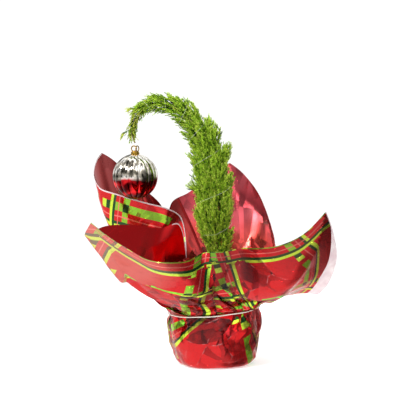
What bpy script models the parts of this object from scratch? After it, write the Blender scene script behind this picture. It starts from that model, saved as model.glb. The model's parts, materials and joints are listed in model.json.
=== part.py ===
"""A small lemon cypress grown up a stem whose tip is bent over in a plain crook.

The plant stands in a round nursery pot.  A square sheet of printed film is gathered round the
pot under an elastic tie and opens above it in four corner flaps.  One fluted ball hangs from
the tip of the crook.  Sizes are in millimetres and become metres as each mesh is made.
The origin is the centre of the flat underside, with +Z up and the front facing -Y.
"""

import math
import random

import bpy
import bmesh
from mathutils import Vector

MM = 0.001
GAP = 0.3                      # clearance between pieces that touch

# ---- driving dimensions -------------------------------------------------------------------
SHEET = 508.0                  # side of the square film sheet, 20 inches
FOIL = 0.9                     # thickness the film is given, so that it is a solid
TIE_HEIGHT = 72.0              # middle of the elastic tie
TIE_SLOPE = 5.0                # how far the tie climbs from the middle to its right side
NECK_RADIUS = 58.3             # film under the tie
NECK_ON_SHEET = 120.0          # distance from the sheet's centre to the tie
TIE_WIRE = 1.0                 # radius of the elastic
TIE_DROP = 0.8                 # the tie sits just under the narrowest line of the film
PLEATS = 16
PLEAT_DEPTH = 2.0
PLEAT_AT_TIE = 0.5
PLEAT_REACH = 34.0             # height over which a pleat dies away
CUP = [(48.0, 0.0), (54.5, 9.0), (57.5, 25.0), (60.5, 50.0)]   # (radius, height) of the film

POT_HEIGHT = 98.0
POT_FOOT_RADIUS = 41.0
POT_TOP_RADIUS = 56.0
POT_LIP_RADIUS = 58.0
POT_LIP_HEIGHT = 4.0
POT_WALL = 1.6
SOIL_HEIGHT = 88.0

STEM_FOOT_RADIUS = 4.2
STEM_TIP_RADIUS = 0.9
ROOT_FLARE = 2.6               # extra radius at the soil
ROOT_FLARE_HEIGHT = 14.0

BALL_RADIUS = 30.0
BALL_WALL = 1.4
BALL_FLUTES = 14
BALL_FLUTE_DEPTH = 1.2
BALL_MOUTH = 4.0               # radius of the opening under the cap
BALL_CENTRE = (-103.5, 0.0, 246.5)
CAP_RADIUS = 5.6
CAP_HEIGHT = 3.5
RING_RADIUS = 3.6
RING_WIRE = 0.8

# ---- the stem -----------------------------------------------------------------------------
# (x, z) of its centreline, which lies in the plane y = 0
STEM_LINE = [(3, 88), (4, 150), (0, 200), (-3, 242), (-11, 281), (-27, 313), (-48, 334),
             (-73, 341), (-93, 335), (-104, 319), (-107, 302), (-103.5, 290.3)]
STEM_PIECES = [("trunk", 0.0, 0.60), ("stem_bend", 0.60, 0.77),
               ("stem_arch", 0.77, 0.90), ("stem_tip", 0.90, 1.0)]

# (share of the stem's length, foliage radius) from the lowest shoots to the tip
CROWN = [(0.17, 9.0), (0.21, 14.5), (0.27, 19.0), (0.33, 24.0), (0.50, 25.5), (0.56, 24.0),
         (0.62, 20.0), (0.70, 18.5), (0.76, 14.0), (0.82, 11.0), (0.88, 8.0), (0.92, 5.5),
         (1.0, 4.0)]
MASS_ENDS = [0.172, 0.23, 0.295, 0.36, 0.425, 0.49, 0.56, 0.62, 0.68, 0.74, 0.80, 0.865, 0.93,
             0.985]
CORE_SHARE = 0.70              # how much of the foliage radius the mass's core fills
SHOOTS_A_MASS = 28
STEM_CLEARANCE = 0.9           # between the stem and what surrounds it, where it bends too
# long sprigs that stand out: shares where they start and end, turn round the stem, reach
SPRIGS = [(0.372, 0.415, 180.0, 33.0), (0.497, 0.552, 10.0, 37.0), (0.505, 0.548, -25.0, 33.0),
          (0.692, 0.722, 0.0, 21.0), (0.745, 0.775, -12.0, 19.0), (0.872, 0.895, 0.0, 16.0),
          (0.950, 0.972, 0.0, 17.0)]

# ---- the film's free edge -----------------------------------------------------------------
# For each side of the sheet: the direction its middle lies in, and along the side, counted
# from its first corner, the edge's place (x, y, z) and how far the film bows out and up
# from a straight run between the tie and that place.
EDGE = {
    "back": (100.0, [
        (0, (23, 158, 258), (14, 0)), (70, (-11, 140, 233), (14, 0)),
        (130, (-36, 125, 217), (14, 0)), (190, (-57, 110, 205), (14, 0)),
        (254, (-67, 92, 172), (12, 0)), (320, (-74, 108, 201), (14, 0)),
        (390, (-109, 118, 232), (16, 0)), (450, (-137, 100, 261), (18, -6)),
        (508, (-155, 72, 275), (20, -12))]),
    "left": (190.0, [
        (0, (-155, 72, 275), (20, -12)), (25, (-161, 58, 265), (20, -14)),
        (52, (-163, 40, 248), (18, -14)), (82, (-155, 25, 232), (16, -10)),
        (122, (-128, 18, 222), (12, -4)), (162, (-95, 18, 212), (12, 0)),
        (197, (-59, 20, 202), (14, 0)), (214, (-46, 24, 194), (18, 0)),
        (262, (-37, 8, 140), (28, 0)), (307, (-48, -4, 185), (20, -4)),
        (332, (-68, -14, 180), (24, -8)), (372, (-94, -36, 185), (26, -10)),
        (412, (-121, -58, 188), (24, -12)), (452, (-142, -82, 187), (14, -14)),
        (484, (-160, -108, 179), (4, -14)), (508, (-150, -124, 197), (2, -18))]),
    "front": (280.0, [
        (0, (-150, -124, 197), (2, -18)), (34, (-127, -130, 180), (0, -16)),
        (74, (-100, -133, 163), (2, -11)), (114, (-79, -130, 152), (6, -7)),
        (154, (-52, -122, 148), (12, -3)), (189, (-30, -112, 150), (14, -2)),
        (209, (-17, -106, 157), (14, -2)), (254, (9, -106, 159), (14, 0)),
        (304, (33, -108, 164), (14, 0)), (354, (54, -100, 163), (16, -2)),
        (404, (80, -96, 166), (18, -5)), (454, (109, -100, 180), (20, -9)),
        (508, (137, -104, 209), (22, -15))]),
    "right": (370.0, [
        (0, (137, -104, 209), (22, -15)), (36, (149, -80, 180), (14, -8)),
        (76, (157, -48, 145), (8, -2)), (116, (152, -18, 113), (2, 4)),
        (151, (138, 5, 91), (0, 8)), (186, (120, 22, 97), (2, 6)),
        (254, (88, 55, 128), (10, 0)), (316, (83, 92, 165), (14, 0)),
        (376, (66, 118, 211), (14, 0)), (436, (46, 138, 239), (14, 0)),
        (508, (23, 158, 258), (14, 0))]),
}
EDGE_STEPS = 20                # columns of the mesh along each side of the sheet
FLARE_ROWS = [0.07, 0.15, 0.27, 0.42, 0.58, 0.74, 0.88, 1.0]   # rows from tie to free edge


# ---- helpers ------------------------------------------------------------------------------
def clear_scene():
    for old in list(bpy.data.objects):
        bpy.data.objects.remove(old, do_unlink=True)


def material(name, colour, roughness, metallic=0.0):
    made = bpy.data.materials.new(name)
    made.use_nodes = True
    shader = made.node_tree.nodes["Principled BSDF"]
    shader.inputs["Base Color"].default_value = (*colour, 1.0)
    shader.inputs["Roughness"].default_value = roughness
    shader.inputs["Metallic"].default_value = metallic
    return made


def add_object(name, shape, finish, smooth_angle=40.0):
    """Turn a bmesh in millimetres into a named object in metres."""
    bmesh.ops.scale(shape, vec=Vector((MM, MM, MM)), verts=shape.verts)
    bmesh.ops.recalc_face_normals(shape, faces=shape.faces)
    mesh = bpy.data.meshes.new(name)
    shape.to_mesh(mesh)
    shape.free()
    mesh.shade_smooth()
    mesh.set_sharp_from_angle(angle=math.radians(smooth_angle))
    mesh.materials.append(finish)
    made = bpy.data.objects.new(name, mesh)
    bpy.context.scene.collection.objects.link(made)
    return made


def hermite_slopes(knots, values):
    """Smooth slopes through the knots, free at both ends."""
    runs = [b - a for a, b in zip(knots, knots[1:])]
    steps = [(b - a) / run for a, b, run in zip(values, values[1:], runs)]
    slopes = [(before * next_run + after * run) / (run + next_run)
              for before, after, run, next_run in zip(steps, steps[1:], runs, runs[1:])]
    first = steps[0] * 1.5 - slopes[0] * 0.5
    last = steps[-1] * 1.5 - slopes[-1] * 0.5
    return [first] + slopes + [last]


def hermite(knots, values, slopes, at):
    """Value of the curve at one place."""
    index = max(i for i in range(len(knots) - 1) if i == 0 or knots[i] <= at)
    run = knots[index + 1] - knots[index]
    t = (at - knots[index]) / run
    return (values[index] * (2 * t**3 - 3 * t**2 + 1) + slopes[index] * run * (t**3 - 2 * t**2 + t)
            + values[index + 1] * (3 * t**2 - 2 * t**3) + slopes[index + 1] * run * (t**3 - t**2))


def on_ramp(table, at):
    """Straight-line value between the rows of a table."""
    for (a, low), (b, high) in zip(table, table[1:]):
        if at <= b:
            return low + (high - low) * max(0.0, at - a) / (b - a)
    return table[-1][1]


def bridge_rows(shape, rows):
    """Join each ring of vertices to the next, all the way round."""
    for lower, upper in zip(rows, rows[1:]):
        count = len(lower)
        for i in range(count):
            j = (i + 1) % count
            shape.faces.new((lower[i], lower[j], upper[j], upper[i]))


def turned(profile, sides, radius_at=None, centre=(0.0, 0.0, 0.0)):
    """A round piece from (radius, height) points; a radius of 0 closes to a pole."""
    shape = bmesh.new()
    rows = []
    for radius, height in profile:
        if radius == 0.0:
            rows.append([shape.verts.new((centre[0], centre[1], centre[2] + height))])
            continue
        row = []
        for i in range(sides):
            turn = 2 * math.pi * i / sides
            r = radius_at(radius, height, turn) if radius_at else radius
            row.append(shape.verts.new((centre[0] + r * math.cos(turn),
                                        centre[1] + r * math.sin(turn), centre[2] + height)))
        rows.append(row)
    for lower, upper in zip(rows, rows[1:]):
        if len(lower) == len(upper):
            bridge_rows(shape, [lower, upper])
            continue
        pole, ring = (lower[0], upper) if len(lower) == 1 else (upper[0], lower)
        for i in range(sides):
            shape.faces.new((pole, ring[i], ring[(i + 1) % sides]))
    if len(rows[0]) > 1 and len(rows[-1]) > 1:
        bridge_rows(shape, [rows[-1], rows[0]])
    return shape


def ring_shape(centre, radius, wire, sides, wire_sides, place):
    """A torus whose points are given by place(turn, out, up)."""
    shape = bmesh.new()
    rows = []
    for i in range(wire_sides):
        tilt = 2 * math.pi * i / wire_sides
        rows.append([shape.verts.new(Vector(centre) + place(2 * math.pi * k / sides,
                                                            radius + wire * math.cos(tilt),
                                                            wire * math.sin(tilt)))
                     for k in range(sides)])
    bridge_rows(shape, rows + [rows[0]])
    return shape


# ---- film wrap and tie --------------------------------------------------------------------
def tie_height(direction):
    return TIE_HEIGHT + TIE_SLOPE * math.cos(direction)


def pleat(direction, distance):
    """How far a pleat stands out, at a distance along the film from the tie."""
    away = min(1.0, abs(distance) / 10.0)
    fade = max(0.0, 1.0 - abs(distance) / PLEAT_REACH)
    depth = (PLEAT_AT_TIE + (PLEAT_DEPTH - PLEAT_AT_TIE) * away) * fade
    return depth * math.cos(PLEATS * direction)


def film_column(middle, along, place, bow):
    """One line of the film from the underside's rim up to its free edge."""
    offset = along - SHEET / 2
    direction = math.radians(middle) + math.atan2(offset, SHEET / 2)
    run = math.hypot(offset, SHEET / 2) - NECK_ON_SHEET
    outward = Vector((math.cos(direction), math.sin(direction), 0.0))
    up = Vector((0.0, 0.0, 1.0))
    points = []
    for radius, height in CUP:
        share = height / TIE_HEIGHT
        out = radius + pleat(direction, height - TIE_HEIGHT)
        points.append(outward * out + up * (height + TIE_SLOPE * math.cos(direction) * share**3))
    neck = outward * NECK_RADIUS + up * tie_height(direction)
    points.append(neck + outward * pleat(direction, 0.0))
    middle_point = (neck + place) / 2 + outward * bow.x + up * bow.y
    handle = middle_point * 2 - (neck + place) / 2
    for t in FLARE_ROWS:
        point = neck * (1 - t)**2 + handle * (2 * t * (1 - t)) + place * t**2
        points.append(point + outward * pleat(direction, run * t))
    return points


def make_wrap(finish):
    columns = []
    for middle, stations in EDGE.values():
        knots = [row[0] for row in stations]
        places = [Vector(row[1]) for row in stations]
        bows = [Vector(row[2]) for row in stations]
        place_slopes = hermite_slopes(knots, places)
        bow_slopes = hermite_slopes(knots, bows)
        for step in range(EDGE_STEPS):
            along = SHEET * step / EDGE_STEPS
            place = hermite(knots, places, place_slopes, along)
            bow = hermite(knots, bows, bow_slopes, along)
            columns.append(film_column(middle, along, place, bow))
    shape = bmesh.new()
    rows = [[shape.verts.new(point) for point in row] for row in zip(*columns)]
    bridge_rows(shape, rows)
    shape.faces.new(reversed(rows[0]))
    wrap = add_object("film_wrap", shape, finish, smooth_angle=60.0)
    wall = wrap.modifiers.new("film thickness", "SOLIDIFY")
    wall.thickness = FOIL * MM
    wall.offset = -1.0
    wall.use_even_offset = True
    return wrap


def make_tie(finish):
    radius = NECK_RADIUS + 2 * PLEAT_AT_TIE + 2 * GAP + TIE_WIRE

    def place(turn, out, up):
        return Vector((out * math.cos(turn), out * math.sin(turn), up + TIE_SLOPE * math.cos(turn)))

    shape = ring_shape((0, 0, TIE_HEIGHT - TIE_DROP), radius, TIE_WIRE, 56, 5, place)
    return add_object("elastic_tie", shape, finish)


# ---- pot and soil -------------------------------------------------------------------------
def pot_radius(height):
    share = (height - FOIL - GAP) / (POT_HEIGHT - FOIL - GAP)
    return POT_FOOT_RADIUS + (POT_TOP_RADIUS - POT_FOOT_RADIUS) * share


def make_pot(finish):
    foot = FOIL + GAP
    floor = foot + POT_WALL
    lip = POT_HEIGHT - POT_LIP_HEIGHT
    profile = [(0.0, foot), (POT_FOOT_RADIUS, foot), (pot_radius(lip), lip), (POT_LIP_RADIUS, lip),
               (POT_LIP_RADIUS, POT_HEIGHT), (POT_TOP_RADIUS - POT_WALL, POT_HEIGHT),
               (pot_radius(floor) - POT_WALL, floor), (0.0, floor)]
    return add_object("nursery_pot", turned(profile, 48), finish)


def make_soil(finish):
    floor = FOIL + POT_WALL + 2 * GAP

    def inner(height):
        return pot_radius(height) - POT_WALL - GAP - 0.2

    profile = [(0.0, floor), (inner(floor), floor), (inner(SOIL_HEIGHT), SOIL_HEIGHT - 1.5),
               (inner(SOIL_HEIGHT) - 8.0, SOIL_HEIGHT), (0.0, SOIL_HEIGHT)]
    return add_object("soil", turned(profile, 32), finish)


# ---- stem ---------------------------------------------------------------------------------
class Stem:
    """The stem's centreline, read by the share of its length."""

    def __init__(self):
        knots = [Vector((x, 0.0, z)) for x, z in STEM_LINE]
        chord = [0.0]
        for a, b in zip(knots, knots[1:]):
            chord.append(chord[-1] + (b - a).length)
        slopes = hermite_slopes(chord, knots)
        fine = [hermite(chord, knots, slopes, chord[-1] * i / 400) for i in range(401)]
        self.points = fine
        self.lengths = [0.0]
        for a, b in zip(fine, fine[1:]):
            self.lengths.append(self.lengths[-1] + (b - a).length)
        self.length = self.lengths[-1]

    def at(self, share):
        want = min(max(share, 0.0), 1.0) * self.length
        index = max(i for i in range(len(self.lengths) - 1) if i == 0 or self.lengths[i] <= want)
        run = self.lengths[index + 1] - self.lengths[index]
        return self.points[index].lerp(self.points[index + 1], (want - self.lengths[index]) / run)

    def frame(self, share):
        """Point, direction along the stem, outer side of the bend, and +Y."""
        along = (self.at(share + 0.004) - self.at(share - 0.004)).normalized()
        side = Vector((0.0, 1.0, 0.0))
        return self.at(share), along, side.cross(along).normalized(), side

    def radius(self, share):
        plain = STEM_FOOT_RADIUS + (STEM_TIP_RADIUS - STEM_FOOT_RADIUS) * share
        height = share * self.length
        return plain + ROOT_FLARE * math.exp(-height / (ROOT_FLARE_HEIGHT / 2))

    def ring(self, share, radius, sides):
        point, _, outer, side = self.frame(share)
        turns = [2 * math.pi * i / sides for i in range(sides)]
        return [point + (outer * math.cos(turn) + side * math.sin(turn)) * radius
                for turn in turns]

    def is_clear(self, root, tip, width):
        """Whether a tapering shoot from root to tip stays off the stem."""
        for step in range(6):
            place = root.lerp(tip, step / 5)
            needed = width * (1.0 - step / 5) + STEM_CLEARANCE
            for index in range(0, len(self.points), 4):
                share = self.lengths[index] / self.length
                if (self.points[index] - place).length < self.radius(share) + needed:
                    return False
        return True


def tube_shape(stem, shares, sides):
    shape = bmesh.new()
    rows = [[shape.verts.new(point) for point in stem.ring(share, stem.radius(share), sides)]
            for share in shares]
    bridge_rows(shape, rows)
    shape.faces.new(rows[0])
    shape.faces.new(rows[-1])
    return shape


def make_stem(stem, finish):
    gap = GAP / stem.length
    for name, start, end in STEM_PIECES:
        first = start + (gap if start == 0.0 else gap / 2)
        last = end - (0.0 if end == 1.0 else gap / 2)
        steps = max(4, round((last - first) * stem.length / 9.0))
        shares = [first + (last - first) * i / steps for i in range(steps + 1)]
        add_object(name, tube_shape(stem, shares, 10), finish)


# ---- foliage ------------------------------------------------------------------------------
def mass_core(stem, first, last, dice):
    """A fluted sleeve round the stem, clear of it, that the shoots stand out of."""
    sides = 12
    steps = 2
    flutes = [dice.uniform(0.88, 1.10) for _ in range(sides)]
    shape = bmesh.new()
    outer_rows = []
    inner_rows = []
    for i in range(steps + 1):
        share = first + (last - first) * i / steps
        full = on_ramp(CROWN, share) * CORE_SHARE
        bore = stem.radius(share) + STEM_CLEARANCE
        point, _, outer, side = stem.frame(share)
        outer_row = []
        inner_row = []
        for k in range(sides):
            turn = 2 * math.pi * k / sides
            reach = max(full * flutes[k], bore + 0.9)
            way = outer * math.cos(turn) + side * math.sin(turn)
            outer_row.append(shape.verts.new(point + way * reach))
            inner_row.append(shape.verts.new(point + way * bore))
        outer_rows.append(outer_row)
        inner_rows.append(inner_row)
    bridge_rows(shape, outer_rows + inner_rows[::-1] + [outer_rows[0]])
    return shape


def shoot_object(stem, start, end, turn, reach, width):
    """A three-sided shoot that leans up the stem and tapers from its sunk root to its tip."""
    point, _, outer, side = stem.frame(start)
    way = outer * math.cos(turn) + side * math.sin(turn)
    end_point, _, end_outer, end_side = stem.frame(end)
    end_way = end_outer * math.cos(turn) + end_side * math.sin(turn)
    bore = stem.radius(start) + STEM_CLEARANCE
    sunk = max(on_ramp(CROWN, start) * CORE_SHARE * 0.72, bore + width)
    root = point + way * sunk
    tip = end_point + end_way * reach
    if not stem.is_clear(root, tip, width):
        return None
    along = (tip - root).normalized()
    across = along.cross(way.cross(along)).normalized()
    other = along.cross(across)
    shape = bmesh.new()
    base = [shape.verts.new((root + (across * math.cos(t) + other * math.sin(t)) * width) * MM)
            for t in (math.pi, math.pi / 3, -math.pi / 3)]
    point = shape.verts.new(tip * MM)
    shape.faces.new(base)
    for i in range(3):
        shape.faces.new((base[i], base[(i + 1) % 3], point))
    bmesh.ops.recalc_face_normals(shape, faces=shape.faces)
    mesh = bpy.data.meshes.new("shoot")
    shape.to_mesh(mesh)
    shape.free()
    return bpy.data.objects.new("shoot", mesh)


def shoot_objects(stem, first, last, dice):
    """The shoots of one mass: none of them goes past the mass's own stretch of stem."""
    golden = math.pi * (3 - math.sqrt(5))
    made = []
    for i in range(SHOOTS_A_MASS):
        share = first + (last - first) * (0.12 + 0.58 * dice.random())
        full = on_ramp(CROWN, share)
        end = min(share + full * dice.uniform(0.45, 0.8) / stem.length,
                  first + (last - first) * 0.97)
        made.append(shoot_object(stem, share, end, golden * i, full * dice.uniform(0.88, 1.04),
                                 max(0.6, full * 0.14)))
    for start, end, turn, reach in SPRIGS:
        if first <= start < last:
            made.append(shoot_object(stem, start, end, math.radians(turn), reach, 1.3))
    return [shoot for shoot in made if shoot]


def make_mass(stem, number, first, last, finish):
    dice = random.Random(100 + number)
    gap = GAP / stem.length
    first += gap
    last -= gap
    core = add_object(f"foliage_{number:02d}", mass_core(stem, first, last, dice), finish)
    shoots = bpy.data.collections.new("shoots")
    bpy.context.scene.collection.children.link(shoots)
    for shoot in shoot_objects(stem, first, last, dice):
        shoots.objects.link(shoot)
    fuse = core.modifiers.new("fuse shoots", "BOOLEAN")
    fuse.operation = "UNION"
    fuse.operand_type = "COLLECTION"
    fuse.collection = shoots
    fuse.solver = "EXACT"
    bpy.context.view_layer.update()
    fused = bpy.data.meshes.new_from_object(core.evaluated_get(bpy.context.evaluated_depsgraph_get()))
    core.modifiers.remove(fuse)
    core.data = fused
    for shoot in list(shoots.objects):
        bpy.data.objects.remove(shoot, do_unlink=True)
    bpy.data.collections.remove(shoots)
    return core


# ---- ornament -----------------------------------------------------------------------------
def ball_profile(radius, mouth, steps):
    """(radius, height) down a sphere from the rim of its mouth to its lowest point."""
    start = math.asin(mouth / radius)
    leans = [start + (math.pi - start) * i / steps for i in range(steps)]
    return [(radius * math.sin(lean), radius * math.cos(lean)) for lean in leans] + [(0.0, -radius)]


def make_ball(finish):
    hollow = BALL_RADIUS - BALL_WALL - BALL_FLUTE_DEPTH
    outside = ball_profile(BALL_RADIUS, BALL_MOUTH, 11)[::-1]
    inside = ball_profile(hollow, BALL_MOUTH, 8)

    def fluted(radius, height, turn):
        if math.hypot(radius, height) < BALL_RADIUS - 0.01:
            return radius
        groove = 0.5 - 0.5 * math.cos(BALL_FLUTES * turn)
        return radius - BALL_FLUTE_DEPTH * groove * (radius - BALL_MOUTH) / BALL_RADIUS

    shape = turned(outside + inside, BALL_FLUTES * 2, fluted, BALL_CENTRE)
    return add_object("ball", shape, finish)


def make_cap(finish):
    foot = BALL_RADIUS - 0.1 + GAP
    x, y, z = BALL_CENTRE
    profile = [(0.0, foot), (CAP_RADIUS, foot), (CAP_RADIUS, foot + CAP_HEIGHT * 0.7),
               (CAP_RADIUS * 0.7, foot + CAP_HEIGHT), (0.0, foot + CAP_HEIGHT)]
    return add_object("ball_cap", turned(profile, 20, centre=(x, y, z)), finish)


def make_ring(finish):
    x, y, z = BALL_CENTRE
    foot = z + BALL_RADIUS + GAP + CAP_HEIGHT + GAP
    centre = (x, y, foot + RING_RADIUS + RING_WIRE)

    def place(turn, out, up):
        return Vector((out * math.cos(turn), up, out * math.sin(turn)))

    shape = ring_shape(centre, RING_RADIUS, RING_WIRE, 20, 6, place)
    return add_object("hanging_ring", shape, finish)


# ---- the whole ----------------------------------------------------------------------------
def main():
    clear_scene()
    film = material("printed film", (0.62, 0.06, 0.07), 0.22, 0.6)
    elastic = material("elastic", (0.75, 0.72, 0.66), 0.6)
    plastic = material("pot plastic", (0.02, 0.02, 0.02), 0.5)
    earth = material("potting soil", (0.05, 0.03, 0.02), 0.95)
    bark = material("cypress bark", (0.18, 0.09, 0.05), 0.85)
    needles = material("cypress needles", (0.22, 0.42, 0.05), 0.6)
    chrome = material("silvered plastic", (0.85, 0.84, 0.80), 0.08, 1.0)
    gilt = material("gilt metal", (0.80, 0.58, 0.22), 0.2, 1.0)

    make_wrap(film)
    make_tie(elastic)
    make_pot(plastic)
    make_soil(earth)
    stem = Stem()
    make_stem(stem, bark)
    for number, (first, last) in enumerate(zip(MASS_ENDS, MASS_ENDS[1:]), start=1):
        make_mass(stem, number, first, last, needles)
    make_ball(chrome)
    make_cap(gilt)
    make_ring(gilt)


main()
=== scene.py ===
"""Looks of a small lemon cypress with a crooked tip, in a pot dressed with printed film."""

import json
import math
import random

import bpy
import numpy as np
from bpy.props import FloatProperty, FloatVectorProperty, IntProperty, PointerProperty
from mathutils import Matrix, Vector
from mathutils.bvhtree import BVHTree
from mathutils.geometry import delaunay_2d_cdt

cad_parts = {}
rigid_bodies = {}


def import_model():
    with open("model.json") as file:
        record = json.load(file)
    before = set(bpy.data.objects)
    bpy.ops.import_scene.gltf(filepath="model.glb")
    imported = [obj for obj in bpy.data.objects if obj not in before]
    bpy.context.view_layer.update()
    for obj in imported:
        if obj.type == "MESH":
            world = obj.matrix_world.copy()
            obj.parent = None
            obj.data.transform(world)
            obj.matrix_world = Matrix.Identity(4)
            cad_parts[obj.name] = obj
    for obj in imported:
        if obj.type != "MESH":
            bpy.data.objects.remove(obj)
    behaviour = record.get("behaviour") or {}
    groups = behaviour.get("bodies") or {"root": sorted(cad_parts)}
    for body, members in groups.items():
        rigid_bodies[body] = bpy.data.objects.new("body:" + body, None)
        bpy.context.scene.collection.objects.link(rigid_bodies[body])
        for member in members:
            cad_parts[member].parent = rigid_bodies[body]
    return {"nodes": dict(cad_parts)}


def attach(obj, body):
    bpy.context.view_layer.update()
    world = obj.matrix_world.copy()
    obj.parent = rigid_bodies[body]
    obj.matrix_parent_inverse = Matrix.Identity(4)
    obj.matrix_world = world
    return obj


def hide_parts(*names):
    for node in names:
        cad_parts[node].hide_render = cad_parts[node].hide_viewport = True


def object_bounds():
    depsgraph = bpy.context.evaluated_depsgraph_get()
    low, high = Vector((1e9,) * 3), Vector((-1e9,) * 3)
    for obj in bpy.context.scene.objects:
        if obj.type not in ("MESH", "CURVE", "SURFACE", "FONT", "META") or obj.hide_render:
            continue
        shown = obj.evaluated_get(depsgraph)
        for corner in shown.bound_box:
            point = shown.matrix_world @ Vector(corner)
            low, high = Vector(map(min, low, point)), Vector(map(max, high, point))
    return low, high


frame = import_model()
CAD_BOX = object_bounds()

bl_info = {
    "name": "Crooked Cypress",
    "version": (1, 0, 0),
    "blender": (4, 5, 0),
    "location": "3D View > Sidebar > Cypress",
    "description": "Builds a potted cypress with a crooked tip, its film wrap and hanging ball",
    "category": "Object",
}

MM = 0.001
BODY = "root"

# ---- sizes in millimetres; places on the flat sheet of film are measured from its middle ----
SHEET = 508.0                  # side of the square film sheet
FLAT = "flat sheet"            # the UV map that keeps the film's flat places, in sheets
NECK_ON_SHEET = 120.0          # distance from the sheet's middle to the tie
NECK_RADIUS = 58.3
TIE_HEIGHT = 72.0
TIE_SLOPE = 5.0
CUP = [(0.0, 0.0), (36.0, 0.0), (48.0, 0.6), (51.5, 4.0), (54.5, 10.0), (57.5, 26.0),
       (60.5, 50.0), (60.0, 62.0), (58.3, 72.0)]      # (radius, height) of the film round the pot
FOOT_ON_SHEET = 40.0           # the film lies flat under the pot this far out
ABOVE_FLOOR = 0.02
INSIDE_BOX = 0.4               # how far the film's wall keeps inside the solids' box
RIM_FOLDS = 75.0               # beyond the tie by this, the folds of the free edge are full
SHELF_DEPTH = 6.0              # how far the film stands out over the crease of the left flap
SHELF_LINE = 0.56              # where that crease lies, from the tie (0) to the free edge (1)
SHELF_BEARINGS = (218, 232, 258, 276)            # round the pot it starts, is full, and ends
TUCKED = 67.0                  # length of film tucked under the crease
SOIL_HEIGHT = 88.0
SOIL_RADIUS = 53.0
STEM_LINE = [(3, 88), (4, 150), (0, 200), (-3, 242), (-11, 281), (-27, 313), (-48, 334),
             (-73, 341), (-93, 335), (-104, 319), (-107, 302), (-103.5, 290.3)]
STEM_FOOT_RADIUS = 4.2
STEM_TIP_RADIUS = 0.9
ROOT_FLARE = 2.6
ROOT_FLARE_HEIGHT = 14.0
BALL_RADIUS = 30.0
BALL_CENTRE = (-103.5, 0.0, 246.5)
TIE_RADIUS = 60.7              # of the stretched elastic, at the middle of its cord
TIE_CORD = 0.75                # half its cord's thickness
THREAD = 0.13                  # and half that of the thread round the foliage
CAP_RADIUS, CAP_HEIGHT = 5.5, 3.4
RING_RADIUS, RING_WIRE = 3.5, 0.8

# ---- the camera, in metres -----------------------------------------------------------------
CAMERA = (-0.008, -1.585, 0.330)
CAMERA_AIM = (-0.008, 0.0, 0.205)
CAMERA_LENS = 104.6            # millimetres, on a sensor 36 mm wide

# ---- the print, in millimetres -------------------------------------------------------------
LIME_MIDDLE = 30.2             # how far into its repeat the middle of the lime line stands
LIME_PLACES = {"X": 211.8, "Y": -232.5}          # and a place on the sheet where it falls
FRONT_SET = 74.0               # at the front left the set of lines comes again this far on
FRONT_SET_CORNER = (63.0, -150.0)                # the inner corner of that part of the sheet
WEDGE_END = 70.0               # how far along the sheet's right side its clear wedge runs
CLEAR_EDGE_START = -62.0       # from here on the left side has a narrow clear edge
CREASE = 0.9                   # half the width of the painted highlight and shade line along a crease
# Painted shade at the sheet's right front corner and near its front middle, and a painted pale
# sheen at its left front corner, strongest near the place and gone at the reach: (place, colour,
# most, reach)
PAINTED_SHADE_AND_SHEEN = [((254, -254), "#3F1212", 0.45, 142), ((58, -222), "#300D0D", 0.60, 62),
             ((-254, -229), "#CEA295", 0.36, 142)]

# ---- the foliage, by shares of the stem's length, in millimetres and in degrees ------------
TIP_START = 0.84               # where the drooping tip begins
FIRST_BOUGH = 0.085            # no bough leaves the stem below this
BOUGH_ENDS = (0.172, 0.992)    # where the lowest and the highest boughs end
SHOOT_SPACING = 4.6            # length of bough to each side shoot
SHOOT_LENGTHS = (6.0, 11.5)    # before they are scaled by the bough's size
CROWN = [(0.17, 15.0), (0.21, 20.0), (0.27, 24.5), (0.33, 27.0), (0.50, 27.0), (0.56, 25.0),
         (0.62, 20.0), (0.70, 17.2), (0.76, 13.0), (0.82, 11.0), (0.88, 8.0), (0.92, 6.0),
         (1.0, 5.0)]           # (share of the stem, foliage radius)
# Sprigs that stand out of the crown: (foot, tip, turn round the stem, reach)
SPRIGS = [(0.372, 0.415, 180.0, 33.0), (0.470, 0.535, 0.0, 35.0), (0.480, 0.530, -35.0, 31.0),
          (0.692, 0.722, 0.0, 18.5), (0.745, 0.775, -12.0, 16.0), (0.872, 0.895, 0.0, 16.0),
          (0.950, 0.972, 0.0, 17.0)]
TUFT_BOUGHS = 16
# Where tufts flare from the outer side: (share of the stem, reach past the crown)
TUFTS = [(0.44, 3.0), (0.535, 5.0), (0.60, 8.0), (0.635, 7.0), (0.70, 1.5), (0.755, 1.0),
         (0.83, 3.0), (0.89, 2.0)]
# Where the thread crosses the front, rising to the right, and its turn when it does
THREAD_CROSSINGS = [0.235, 0.375, 0.52, 0.62, 0.70, 0.775, 0.84, 0.895]
THREAD_TURNS = [-90 + 360 * i for i in range(len(THREAD_CROSSINGS))]
GOLDEN = math.pi * (3 - math.sqrt(5))            # the golden angle from bough to bough
NEEDLE_TURN = 2.39996          # and, rounded, from needle to needle
TWIG_CORNERS = (0.0, 2.0944, 4.1888)             # of a three-sided twig, in radians
STEM_NODES = ["trunk", "stem_bend", "stem_arch", "stem_tip"]
FOLIAGE_NODES = sorted(name for name in frame["nodes"] if name.startswith("foliage_"))

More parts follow.
